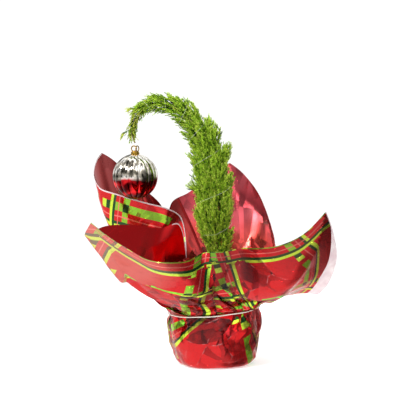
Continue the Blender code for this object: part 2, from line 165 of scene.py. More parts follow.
# The film's free edge: for each side of the sheet, the direction its middle lies in, then
# along the side the edge's place and how far the film bows out and up on the way there.
EDGE = {
    "right": (10.0, [
        (0, (137, -104, 209), (22, -15)), (36, (149, -80, 180), (14, -8)),
        (76, (157, -48, 145), (8, -2)), (116, (152, -18, 113), (2, 4)),
        (151, (138, 5, 91), (0, 8)), (186, (120, 22, 97), (2, 6)),
        (254, (88, 55, 128), (10, 0)), (316, (83, 92, 165), (14, 0)),
        (376, (66, 118, 211), (14, 0)), (436, (46, 138, 239), (14, 0)),
        (508, (23, 158, 258), (14, 0))]),
    "back": (100.0, [
        (0, (23, 158, 258), (14, 0)), (70, (-11, 140, 233), (14, 0)),
        (130, (-36, 125, 217), (14, 0)), (190, (-57, 110, 205), (14, 0)),
        (254, (-67, 92, 172), (12, 0)), (320, (-74, 108, 201), (14, 0)),
        (390, (-109, 118, 232), (16, 0)), (450, (-137, 100, 261), (18, -6)),
        (508, (-155, 72, 275), (20, -12))]),
    "left": (190.0, [
        (0, (-155, 72, 275), (20, -12)), (25, (-161, 58, 265), (20, -14)),
        (52, (-163, 40, 248), (18, -14)), (82, (-155, 25, 232), (16, -10)),
        (122, (-128, 18, 222), (12, -4)), (162, (-95, 18, 212), (12, 0)),
        (197, (-59, 20, 202), (14, 0)), (214, (-46, 24, 194), (18, 0)),
        (262, (-37, 8, 140), (28, 0)), (307, (-48, -4, 185), (20, -4)),
        (332, (-68, -14, 180), (24, -8)), (372, (-94, -36, 185), (26, -10)),
        (412, (-121, -58, 188), (24, -12)), (452, (-142, -82, 187), (14, -14)),
        (484, (-160, -108, 179), (4, -14)), (508, (-150, -124, 197), (2, -18))]),
    "front": (280.0, [
        (0, (-150, -124, 197), (2, -18)), (34, (-127, -130, 180), (0, -16)),
        (74, (-100, -133, 163), (2, -11)), (114, (-79, -130, 152), (6, -7)),
        (154, (-52, -122, 148), (12, -3)), (189, (-30, -112, 150), (14, -2)),
        (209, (-17, -106, 157), (14, -2)), (254, (9, -106, 159), (14, 0)),
        (304, (33, -108, 164), (14, 0)), (354, (54, -100, 163), (16, -2)),
        (404, (80, -96, 166), (18, -5)), (454, (109, -100, 180), (20, -9)),
        (508, (137, -104, 209), (22, -15))]),
}

# Long folds that reach the free edge: along one side of the sheet, places on the sheet and
# the places on EDGE that they are folded to. Film between the first and last is tucked under.
LONG_FOLDS = {
    "front": [(0, 0), (175, 228), (235.5, 142), (296, 228), (508, 508)],
    "back": [(0, 0), (194, 254), (254, 165), (314, 254), (508, 508)],
}
# Folds under the tie, as the turns (degrees) at which they start; the sign gives the way each
# one is laid. Two of them carry on into the long folds.
TIE_FOLDS = [(48.2, 1), (100.0, 1), (122.0, -1), (143.0, 1), (166.0, 1), (184.0, -1),
             (207.0, 1), (224.8, 1), (275.8, 1), (297.0, 1), (318.0, -1), (339.0, 1),
             (358.0, 1), (376.0, -1), (393.0, 1), (408.2, 1)]


# ---- sizes and colours a user may change ---------------------------------------------------
class FilmSettings(bpy.types.PropertyGroup):
    """Sizes of the printed film."""

    cells: IntProperty(name="Cells", description="Mesh cells along each side of the sheet",
                       default=222, min=40)
    thickness: FloatProperty(name="Thickness", description="Thickness of the film",
                             default=0.3 * MM, unit="LENGTH", precision=5)
    repeat_across: FloatProperty(name="Repeat Across", description="Repeat of the check's columns",
                                 default=142 * MM, unit="LENGTH")
    repeat_along: FloatProperty(name="Repeat Along", description="Repeat of the check's rows",
                                default=124 * MM, unit="LENGTH")
    clear_wedge: FloatProperty(name="Clear Wedge", description="Widest unprinted film at the "
                               "right side", default=29 * MM, unit="LENGTH")
    red: FloatVectorProperty(name="Red", description="Ground colour of the print, as sRGB",
                             subtype="COLOR_GAMMA", default=(0.76, 0.10, 0.11))
    lining: FloatVectorProperty(name="Lining", description="Colour of the inside, as sRGB",
                                subtype="COLOR_GAMMA", default=(0.80, 0.04, 0.07))


class PlantSettings(bpy.types.PropertyGroup):
    """Density and size of the foliage."""

    boughs: IntProperty(name="Boughs", description="Side boughs on the stem", default=640)
    needle: FloatProperty(name="Needle", description="Length of a needle",
                          default=2.7 * MM, unit="LENGTH", precision=5)
    spacing: FloatProperty(name="Spacing", description="Distance along a shoot between needles",
                           default=0.75 * MM, unit="LENGTH", precision=5)


class OrnamentSettings(bpy.types.PropertyGroup):
    """The hanging ball."""

    flutes: IntProperty(name="Flutes", description="Upright flutes round the ball", default=14)
    flute_depth: FloatProperty(name="Flute Depth", description="Depth of a groove at the widest",
                               default=1.7 * MM, unit="LENGTH", precision=5)


# ---- helpers -------------------------------------------------------------------------------
def linear(colour):
    """Linear RGBA of an sRGB hex value or of three sRGB shares. One number is that much of
    white, and linear RGBA stays as it is."""
    if isinstance(colour, (int, float)):
        return (colour, colour, colour, 1.0)
    if len(colour) == 4:
        return tuple(colour)
    if isinstance(colour, str):
        colour = [int(colour[i:i + 2], 16) / 255 for i in (1, 3, 5)]
    return tuple(s / 12.92 if s <= 0.04045 else ((s + 0.055) / 1.055) ** 2.4
                 for s in colour) + (1.0,)


def add_node(tree, kind, feeds=(), stops=(), interpolation="LINEAR", **settings):
    """Add a node with its settings and, on a colour ramp, its (place, colour) stops. Feeds are
    values or other nodes' outputs, by input or in their order. Gives the node's outputs."""
    made = tree.nodes.new("ShaderNode" + kind)
    for name, value in settings.items():
        setattr(made, name, value)
    for socket, value in feeds.items() if isinstance(feeds, dict) else enumerate(feeds):
        if isinstance(value, bpy.types.NodeSocket):
            tree.links.new(value, made.inputs[socket])
        else:
            made.inputs[socket].default_value = value
    if stops:
        made.color_ramp.interpolation = interpolation
        elements = made.color_ramp.elements
        elements.remove(elements[-1])
        elements[0].position, elements[0].color = stops[0][0], linear(stops[0][1])
        for place, colour in stops[1:]:
            elements.new(place).color = linear(colour)
    return made.outputs


def lay_over(tree, colour, coats, blend_type="MIX"):
    """Lay coats over a colour one after another, each a (mask, colour)."""
    for mask, coat in coats:
        layers = [each if isinstance(each, bpy.types.NodeSocket) else linear(each)
                  for each in (colour, coat)]
        colour = add_node(tree, "Mix", {"Factor": mask, 6: layers[0], 7: layers[1]},
                          data_type="RGBA", blend_type=blend_type)[2]
    return colour


def new_material(name, **shader_values):
    """A material with one Principled shader whose plain values are set on its own sockets."""
    made = bpy.data.materials.new(name)
    made.use_nodes = True
    shader = made.node_tree.nodes["Principled BSDF"]
    for socket, value in shader_values.items():
        shader.inputs[socket.replace("_", " ")].default_value = value
    return made, made.node_tree, shader


def cover(tree, shader, colour, relief=None, depth=1.0):
    """Give the shader its colour and, where there is one, a relief of that depth in metres."""
    tree.links.new(colour, shader.inputs["Base Color"])
    if relief:
        slopes = add_node(tree, "Bump", {"Height": relief, "Distance": depth, "Strength": 1.0})
        tree.links.new(slopes["Normal"], shader.inputs["Normal"])


def mottled(name, scale, stops, detail=2.0, stretch=None, depth=None, **shader_values):
    """A material that goes through the stops in clouds, about scale of them to a metre, which
    may be stretched along the axes and raised by a depth in metres."""
    made, tree, shader = new_material(name, **shader_values)
    place = add_node(tree, "TexCoord")["Object"]
    if stretch:
        place = add_node(tree, "Mapping", {"Vector": place, "Scale": stretch})["Vector"]
    cloud = add_node(tree, "TexNoise", {"Vector": place, "Scale": scale, "Detail": detail})["Fac"]
    cover(tree, shader, add_node(tree, "ValToRGB", (cloud,), stops)["Color"],
          cloud if depth else None, depth or 1.0)
    return made


def deselect_all():
    if bpy.context.object and bpy.context.object.mode != "OBJECT":
        bpy.ops.object.mode_set(mode="OBJECT")
    bpy.ops.object.select_all(action="DESELECT")


def only(piece):
    deselect_all()
    piece.select_set(True)
    bpy.context.view_layer.objects.active = piece


def close_shell(piece, holes=True):
    """Fill what is open, if there are holes, and turn every face outwards."""
    only(piece)
    bpy.ops.object.mode_set(mode="EDIT")
    bpy.ops.mesh.select_all(action="SELECT")
    if holes:
        bpy.ops.mesh.fill_holes(sides=0)
    bpy.ops.mesh.normals_make_consistent(inside=False)
    bpy.ops.object.mode_set(mode="OBJECT")


def hand_over(piece, name, slot, finish, *nodes):
    """Name the piece, give it its finish and its body, and hide what it stands for."""
    piece.name = name
    piece.data.name = name
    if finish:
        piece.data.materials.clear()
        for each in finish if isinstance(finish, list) else [finish]:
            piece.data.materials.append(each)
    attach(piece, BODY)
    if nodes:
        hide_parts(*nodes)
    return piece


def mesh_piece(name, points, faces):
    """A new object from arrays of points (in millimetres) and faces."""
    mesh = bpy.data.meshes.new(name)
    points = np.asarray(points, np.float32) * MM
    faces = np.asarray(faces, np.int32)
    corners = faces.shape[1]
    mesh.vertices.add(len(points))
    mesh.vertices.foreach_set("co", points.ravel())
    mesh.loops.add(faces.size)
    mesh.loops.foreach_set("vertex_index", faces.ravel())
    mesh.polygons.add(len(faces))
    mesh.polygons.foreach_set("loop_start", np.arange(0, faces.size, corners, dtype=np.int32))
    mesh.update(calc_edges=True)
    mesh.validate()
    made = bpy.data.objects.new(name, mesh)
    bpy.context.scene.collection.objects.link(made)
    return made


def read_points(piece):
    points = np.empty(len(piece.data.vertices) * 3, np.float32)
    piece.data.vertices.foreach_get("co", points)
    return points.reshape(-1, 3).astype(float) / MM


def write_points(piece, points):
    piece.data.vertices.foreach_set("co", (np.asarray(points) * MM).astype(np.float32).ravel())
    piece.data.update()


def unit(ways):
    """The same directions, each of length one."""
    return ways / np.maximum(np.linalg.norm(ways, axis=-1, keepdims=True), 1e-9)


def turn_of(points):
    """The direction of each point round the upright axis, in radians."""
    return np.arctan2(points[:, 1], points[:, 0])


def ring_grid(levels, sides):
    """Rings of points, one to a level: the level and the turn of each, and the quads between."""
    turn = np.tile(np.arange(sides) * 2 * np.pi / sides, len(levels))
    index = np.arange(len(turn)).reshape(len(levels), sides)
    low, high = index[:-1], index[1:]
    faces = np.stack([low, np.roll(low, -1, 1), np.roll(high, -1, 1), high], axis=-1)
    return np.repeat(levels, sides), turn, faces.reshape(-1, 4)


def copies(faces, count):
    """The triangles of a small shape, again for each of so many copies of it."""
    faces = np.array(faces)
    first = np.arange(count) * (faces.max() + 1)
    return (first[:, None, None] + faces[None]).reshape(-1, 3)


def hermite(knots, values, at):
    """Smooth curve through rows of values at the knots, free at both ends."""
    knots = np.asarray(knots, float)
    values = np.asarray(values, float)
    runs = np.diff(knots)[:, None]
    steps = np.diff(values, axis=0) / runs
    slopes = np.empty_like(values)
    slopes[1:-1] = (steps[:-1] * runs[1:] + steps[1:] * runs[:-1]) / (runs[:-1] + runs[1:])
    slopes[0] = 1.5 * steps[0] - 0.5 * slopes[1]
    slopes[-1] = 1.5 * steps[-1] - 0.5 * slopes[-2]
    at = np.atleast_1d(at)
    index = np.clip(np.searchsorted(knots, at, side="right") - 1, 0, len(knots) - 2)
    run = runs[index]
    t = (at - knots[index])[:, None] / run
    return (values[index] * (2 * t**3 - 3 * t**2 + 1) + slopes[index] * run * (t**3 - 2 * t**2 + t)
            + values[index + 1] * (3 * t**2 - 2 * t**3)
            + slopes[index + 1] * run * (t**3 - t**2))


# ---- the film ------------------------------------------------------------------------------
def side_of(turn):
    """For each direction on the flat sheet: its side, and the angle from that side's middle."""
    side = np.floor((np.degrees(turn) + 45.0) / 90.0).astype(int) % 4
    lean = (turn - np.radians(side * 90.0) + np.pi) % (2 * np.pi) - np.pi
    return side, lean


def edge_run(turn):
    """Distance from the sheet's centre to its edge in each direction."""
    return SHEET / 2 / np.cos(side_of(turn)[1])


def film_at(turn, distance):
    """Places of the film from directions and distances on the flat sheet."""
    side, lean = side_of(turn)
    along = SHEET / 2 * (1.0 + np.tan(lean))
    edge = np.empty((len(turn), 5))
    for number, (middle, stations) in enumerate(EDGE.values()):
        mine = side == number
        rows = [place + bow for _, place, bow in stations]
        edge[mine] = hermite([row[0] for row in stations], rows, along[mine])
    first_middle = EDGE["right"][0]
    direction = turn + math.radians(first_middle)
    outward = np.stack([np.cos(direction), np.sin(direction), np.zeros_like(turn)], axis=1)
    neck = outward * NECK_RADIUS
    neck[:, 2] = TIE_HEIGHT + TIE_SLOPE * np.cos(direction)

    rim = edge[:, :3]
    middle = (neck + rim) / 2 + outward * edge[:, 3:4]
    middle[:, 2] += edge[:, 4]
    handle = 2 * middle - (neck + rim) / 2

    def bowed(t):
        return neck * (1 - t)**2 + handle * (2 * t * (1 - t)) + rim * t**2

    share = np.clip((distance - NECK_ON_SHEET) / (edge_run(turn) - NECK_ON_SHEET), 0.0, 1.0)
    line = bowed(np.linspace(0, 1, 17)[:, None, None])
    gone = np.concatenate([np.zeros((1, len(turn))),
                           np.cumsum(np.linalg.norm(np.diff(line, axis=0), axis=2), axis=0)])
    want = share * gone[-1]
    index = np.clip((gone < want).sum(axis=0) - 1, 0, 15)
    columns = np.arange(len(turn))
    before = gone[index, columns]
    t = (index + (want - before) / np.maximum(gone[index + 1, columns] - before, 1e-9)) / 16
    flare = bowed(t[:, None])

    profile = np.array(CUP)
    travel = np.concatenate([[0], np.cumsum(np.linalg.norm(np.diff(profile, axis=0), axis=1))])
    on_cup = np.clip(distance / NECK_ON_SHEET, 0, 1) * travel[-1]
    radius = np.interp(on_cup, travel, profile[:, 0])
    height = np.interp(on_cup, travel, profile[:, 1])
    cup = outward * radius[:, None]
    cup[:, 2] = height + TIE_SLOPE * np.cos(direction) * (height / TIE_HEIGHT)**3
    return np.where((distance < NECK_ON_SHEET)[:, None], cup, flare)


def film_normals(turn, distance):
    """Outward normals of the film, from small steps along it."""
    here = film_at(turn, distance)
    reach = edge_run(turn)
    step_in = np.where(distance > reach - 2.0, -1.0, 1.0)
    onward = (film_at(turn, distance + step_in) - here) * step_in[:, None]
    aside = film_at(turn + 0.004, np.minimum(distance, edge_run(turn + 0.004))) - here
    return unit(np.cross(aside, onward))


def gather_ratio(distance):
    """How many times more film there is round the pot than the pot needs."""
    return np.interp(distance, [0, 50, 75, 100, 120, 140, 165, 200, 240],
                     [1.0, 1.0, 1.30, 1.68, 2.0, 1.75, 1.40, 1.12, 1.0])


def smooth_step(low, high, value):
    t = np.clip((value - low) / (high - low), 0, 1)
    return t * t * (3 - 2 * t)


def fold_film(turn, distance):
    """Lay the film in knife pleats: for each place on the flat sheet, the direction it is
    folded to, how high it lies in its fold (-1 to 1) and how tightly the fold is closed."""
    side, lean = side_of(turn)
    along = SHEET / 2 * (1.0 + np.tan(lean))
    rim_turn = turn.copy()
    rim_level = np.zeros_like(turn)
    for number, name in enumerate(EDGE):
        if name in LONG_FOLDS:
            mine = side == number
            on_sheet, on_edge = np.array(LONG_FOLDS[name], float).T
            to = np.interp(along[mine], on_sheet, on_edge)
            rim_turn[mine] += np.arctan(to / (SHEET / 2) - 1.0) - lean[mine]
            # the film rises to the first crease, turns under it, and comes out at the last one
            first, back, last = on_sheet[1:4]
            rim_level[mine] = np.interp(
                along[mine], [first - 125, first - 66, first, first + 8, back, back + 8, last,
                              last + 70], [0, 1, 1, 0, 0, -1, -1, 0])
    starts = np.radians([start for start, _ in TIE_FOLDS]) - math.radians(EDGE["right"][0])
    ways = np.array([way for _, way in TIE_FOLDS])[:-1]
    dice = random.Random(4)
    # how far each fold runs out beyond the tie, and in towards the pot
    outer = np.array([dice.uniform(34.0, 95.0) for _ in ways])
    inner = np.array([dice.uniform(36.0, 60.0) for _ in ways])
    wrapped = (turn - starts[0]) % (2 * np.pi) + starts[0]
    index = np.clip(np.searchsorted(starts, wrapped, side="right") - 1, 0, len(ways) - 1)
    width = starts[index + 1] - starts[index]
    share = (wrapped - starts[index]) / width
    way = ways[index]
    share = np.where(way > 0, share, 1 - share)
    ratio = gather_ratio(distance)
    back = (1 - 1 / ratio) / 2
    rise = (ratio - 1) * share
    fall = (ratio - 1) * (1 - back) - (ratio + 1) * (share - (1 - back))
    wave = np.where(share < 1 - back, rise, fall)
    peak = np.maximum((ratio - 1) * (1 - back), 1e-6)
    away = distance - NECK_ON_SHEET
    closed = np.where(away > 0, smooth_step(outer[index], 0, away),
                      smooth_step(-inner[index], 0, away))
    tie_turn = turn + wave * width * way * closed
    tie_level = (np.where(ratio > 1.001, wave / peak, 0) * 2 - 1) * closed

    to_rim = smooth_step(0, RIM_FOLDS, away)
    folded = tie_turn + (rim_turn - turn) * to_rim
    return folded, tie_level, rim_level * to_rim, closed


def crumple_heights(flat, dice):
    """Creased facets: heights over a rough net of points, flat between them."""
    # rings of points: (radius on the sheet, count, height), in mm
    rings = [(0, 1, 0.0), (30, 6, 0.0), (46, 10, 0.3), (58, 11, 2.6), (76, 12, 3.4),
             (96, 13, 3.0), (110, 20, 1.4), (120, 30, 0.7), (131, 28, 2.2), (146, 24, 3.6),
             (166, 22, 4.2), (190, 20, 3.6), (222, 18, 2.6), (262, 16, 2.0), (310, 16, 1.6),
             (372, 16, 1.2), (460, 16, 0.6)]
    points = []
    heights = []
    for radius, count, depth in rings:
        start = dice.uniform(0, 2 * math.pi)
        for i in range(count):
            turn = start + 2 * math.pi * (i + dice.uniform(-0.34, 0.34)) / count
            r = radius * dice.uniform(0.94, 1.06)
            points.append(Vector((r * math.cos(turn), r * math.sin(turn))))
            heights.append(depth * dice.choice((-1, 1)) * dice.uniform(0.35, 1.0))
    corners, _, faces, sources, _, _ = delaunay_2d_cdt(points, [], [], 0, 1e-6)
    raised = [Vector((p.x, p.y, heights[source[0]])) for p, source in zip(corners, sources)]
    tree = BVHTree.FromPolygons(raised, faces)
    down = Vector((0, 0, -1))
    out = np.zeros(len(flat))
    for i, (u, v) in enumerate(flat):
        hit = tree.ray_cast(Vector((u, v, 50.0)), down)[0]
        if hit:
            out[i] = hit.z
    return out


def shelf(turn, distance):
    """The long crease across the front left flap: how far the film over it stands out, as a
    share, and whether each place is on the film tucked under it."""
    bearing = (np.degrees(turn) + EDGE["right"][0]) % 360
    reach = (distance - NECK_ON_SHEET) / (edge_run(turn) - NECK_ON_SHEET)
    start, full, fades, end = SHELF_BEARINGS
    width = smooth_step(start, full, bearing) * smooth_step(end, fades, bearing)
    line = SHELF_LINE + 0.04 * np.sin(np.radians(bearing - 226) * 4)
    over = np.clip((1.0 - reach) / (1.0 - line), 0, 1)**1.6
    drop = smooth_step(line - 0.035, line, reach)
    under = (reach < line - 0.018) & (reach > 0.02) & (width > 0.1)
    return over * drop * width, under


def net(tree, flat, size, shift, feature="F1"):
    """A rough net over the sheet, its cells size mm wide. Gives the places moved by the shift
    and the cells at them."""
    moved = add_node(tree, "VectorMath", (flat, (shift, shift, 0)))["Vector"]
    return moved, add_node(tree, "TexVoronoi", {"Vector": moved, "Scale": SHEET / size},
                           voronoi_dimensions="2D", feature=feature)


def facets(tree, flat, size, slope, shift=0.0):
    """Flat facets, one to a cell of the net, each leaning its own way by up to slope. Gives
    their heights in metres and a random share for each."""
    moved, cells = net(tree, flat, size, shift)
    lean = add_node(tree, "VectorMath", (cells["Color"], (0.5, 0.5, 0.5)), operation="SUBTRACT")
    local = add_node(tree, "VectorMath", (moved, cells["Position"]), operation="SUBTRACT")
    rise = add_node(tree, "VectorMath", (local[0], lean[0]), operation="DOT_PRODUCT")["Value"]
    height = add_node(tree, "Math", (rise, 2 * slope * SHEET * MM), operation="MULTIPLY")
    return height[0], add_node(tree, "SeparateColor", (cells["Color"],))["Blue"]


def from_point(tree, flat, stops, point=(0.0, 0.0)):
    """A share that changes with the distance in mm from a place on the sheet, its middle if
    none is given."""
    place = (point[0] / SHEET, point[1] / SHEET, 0.0)
    away = add_node(tree, "VectorMath", (flat, place), operation="DISTANCE")["Value"]
    return add_node(tree, "ValToRGB", (away,), [(mm / SHEET, share) for mm, share in stops])[0]


def check_pattern(tree, flat, settings):
    """The traditional check: the same set of lines across and along the sheet, and wide bands
    that change ink along their length."""
    red = linear(settings.red)
    dark, lime, green, pink = "#17431D", "#C4DE3C", "#84B02A", "#DE6A62"
    # (mm into the repeat, ink from there on): a thin line, then a dark and lime pair
    lines = [(0, red), (16.5, pink), (18.3, red), (23.3, dark), (27.7, lime), (32.2, red)]
    lined = [(at, int(ink is not red)) for at, ink in lines]
    # the place of the wide band, and the inks it goes through along its own length
    wide = [(0, 1), (10, 0)]
    along_band = [(0, dark), (10, green), (33, dark), (40, lime), (48, red), (60, green)]
    axes = add_node(tree, "SeparateXYZ", (flat,))
    inks = []
    for axis, repeat in (("X", settings.repeat_across / MM), ("Y", settings.repeat_along / MM)):
        start = (LIME_MIDDLE - LIME_PLACES[axis] + 8 * repeat) / repeat
        repeats = add_node(tree, "Math", (axes[axis], SHEET / repeat, start),
                           operation="MULTIPLY_ADD")
        phase = add_node(tree, "Math", (repeats[0],), operation="FRACT")[0]
        if axis == "Y":
            # at the front left the set of lines comes once more within a repeat
            here = add_node(tree, "Math", (phase, FRONT_SET / repeat), operation="GREATER_THAN")
            for side, corner in zip("XY", FRONT_SET_CORNER):
                before = add_node(tree, "Math", (axes[side], corner / SHEET),
                                  operation="LESS_THAN")
                here = add_node(tree, "Math", (here[0], before[0]), operation="MULTIPLY")
            phase = add_node(tree, "Math", (here[0], -FRONT_SET / repeat, phase),
                             operation="MULTIPLY_ADD")[0]
        inks.append([add_node(tree, "ValToRGB", (phase,), [(at / repeat, ink) for at, ink in rows],
                              "CONSTANT")[0] for rows in (wide, along_band, lined, lines)])
    # a wide band takes its ink from the place along it, which the other axis has
    across, along = inks
    return lay_over(tree, red, [(across[0], along[1]), (along[0], across[1]),
                                (across[2], across[3]), (along[2], along[3])])


def film_print(settings):
    """Metallised polypropylene gift film, gravure printed outside with a traditional check.
    The metal under the ink gives broad bright sheets of light; the clear face adds gloss."""
    made, tree, shader = new_material(
        "printed metallised film", Roughness=0.13, Metallic=0.85, Coat_Weight=0.35,
        Coat_Roughness=0.06, Specular_Tint=linear("#E08070"))
    flat = add_node(tree, "UVMap", uv_map=FLAT)["UV"]
    # creased flat facets: broad ones, and small ones where the film is gathered
    net_size, net_shift = 38.0, 5.3
    broad, shade = facets(tree, flat, net_size, 0.34, net_shift)
    middling, second_shade = facets(tree, flat, 17.0, 0.15, 1.7)
    small, _ = facets(tree, flat, 9.0, 0.22, 3.7)
    gathered = from_point(tree, flat, [(38, 0.0), (55, 0.55), (80, 0.7), (100, 1.0), (190, 1.0),
                                       (228, 0.30), (300, 0.12)])
    front_patch = from_point(tree, flat, [(35, 0.75), (60, 0.0)], (100, -212))
    crushed = add_node(tree, "Math", (gathered, front_patch), operation="MAXIMUM")[0]
    tight = from_point(tree, flat, [(70, 0.1), (96, 0.8), (145, 0.8), (180, 0.1)])
    small = add_node(tree, "Math", (small, tight), operation="MULTIPLY")[0]
    broad = add_node(tree, "Math", (broad, middling), operation="ADD")[0]
    relief = add_node(tree, "Math", (broad, crushed, small), operation="MULTIPLY_ADD")[0]
    # painted light and shade: each facet is painted its own share of the light, from painted shade
    # to a pale pink painted highlight, in linear red, green and blue
    second_shade = add_node(tree, "Math", (second_shade, 0.35), operation="MULTIPLY")[0]
    shade = add_node(tree, "Math", (shade, 0.65, second_shade), operation="MULTIPLY_ADD")[0]
    painted_facet_light = add_node(tree, "ValToRGB", (shade,), [
        (0.10, (0.26, 0.18, 0.20, 1)), (0.28, (0.54, 0.46, 0.48, 1)), (0.36, (1.0, 0.95, 0.95, 1)),
        (0.76, (1.05, 1.15, 1.15, 1)), (0.86, (1.05, 2.4, 3.0, 1))])[0]
    # where the film is crushed the print is multiplied by that painted light and shade
    lit = lay_over(tree, check_pattern(tree, flat, settings),
                   [(1.0, lay_over(tree, 1.0, [(crushed, painted_facet_light)]))], "MULTIPLY")
    # painted highlights and painted shade along the creases: pale pink lines in some places, dark
    # red in others
    edges = net(tree, flat, net_size, net_shift, "DISTANCE_TO_EDGE")[1]["Distance"]
    painted_crease_light = add_node(tree, "ValToRGB", (edges,), [(0.0, 0.4), (CREASE / net_size, 0.0)])[0]
    painted_crease_light = add_node(tree, "Math", (painted_crease_light, crushed), operation="MULTIPLY")[0]
    patch = add_node(tree, "TexNoise", {"Vector": flat, "Scale": 34.0})["Fac"]
    coats = [(painted_crease_light, add_node(tree, "ValToRGB", (patch,), [(0.40, "#591919"), (0.50, "#B33F3F"),
                                                          (0.60, "#FFCECE")])[0])]
    # lay the painted shade and the painted sheen over the print
    for place, ink, most, reach in PAINTED_SHADE_AND_SHEEN:
        coats.append((from_point(tree, flat, [(0.18 * reach, most), (0.64 * reach, 0.8 * most),
                                              (reach, 0.0)], place), ink))
    cover(tree, shader, lay_over(tree, lit, coats), relief)
    return made


def film_lining(settings):
    """Inside of the film: vacuum-deposited aluminium behind clear red, mirror-like and deep."""
    made, tree, shader = new_material("red metallised lining", Roughness=0.19, Metallic=0.92,
                                      Coat_Weight=0.25, Coat_Roughness=0.2)
    place = add_node(tree, "TexCoord")["Object"]
    cloud = add_node(tree, "TexNoise", {"Vector": place, "Scale": 28.0, "Detail": 3.0})["Fac"]
    # away from the sheet's middle the lining is painted a paler, mottled red, a painted reflection
    # of the pale room; nearer the middle it is a deeper red
    painted_haze = add_node(tree, "ValToRGB", (cloud,), [(0.35, "#A8333C"), (0.7, "#C05059")])[0]
    flat = add_node(tree, "UVMap", uv_map=FLAT)["UV"]
    tint = lay_over(tree, painted_haze, [(from_point(tree, flat, [(218, 1.0), (262, 0.0)]), "#B43A32")])
    # it deepens from the sheet's right side to its left, as painted shade, and from its back to
    # its front, to the lining's own red
    axes = add_node(tree, "SeparateXYZ", (flat,))
    for axis, end, deep in (("X", 150, "#9E2A28"), ("Y", 90, settings.lining)):
        opened = add_node(tree, "MapRange", {"Value": axes[axis], "From Max": end / SHEET})[0]
        tint = lay_over(tree, deep, [(opened, tint)])
    broad, _ = facets(tree, flat, 34.0, 0.05)
    crinkle, _ = facets(tree, flat, 16.0, 0.16, 2.2)
    low = from_point(tree, flat, [(150, 1.0), (195, 0.6), (225, 0.0)])
    cover(tree, shader, tint,
          add_node(tree, "Math", (crinkle, low, broad), operation="MULTIPLY_ADD")[0])
    return made


def film_clear():
    """Unprinted margin of the film: clear, thin and glossy. Its pale, faintly pink colour is a
    painted reflection of the light and of the red film near it.
    """
    return mottled("clear film margin", 60.0, [(0.3, "#EFE2E2"), (0.7, "#DDC2C8")],
                   Roughness=0.12, Alpha=0.78, Coat_Weight=0.5)


def slant_columns(flat, wedge):
    """Crowd the mesh's columns towards the right side of the sheet where the clear wedge is
    narrow, so that the edge of the print runs along one column."""
    edge = SHEET / 2 - flat[:, 0]
    squeeze = np.interp(flat[:, 1], [-254, -228, -140, -30, WEDGE_END, 150],
                        [0.06, 0.08, 1, 1, 0.06, 1])
    spread = wedge * squeeze + (edge - wedge) * (2.5 - squeeze) / 1.5
    moved = SHEET / 2 - np.where(edge < wedge, edge * squeeze,
                                 np.where(edge < 2.5 * wedge, spread, edge))
    # the outermost column at the left side is 1.6 mm wide: it is the clear edge there
    outermost = (moved < -248.5) & (moved > -253.5)
    return np.where(outermost, -252.4, moved)


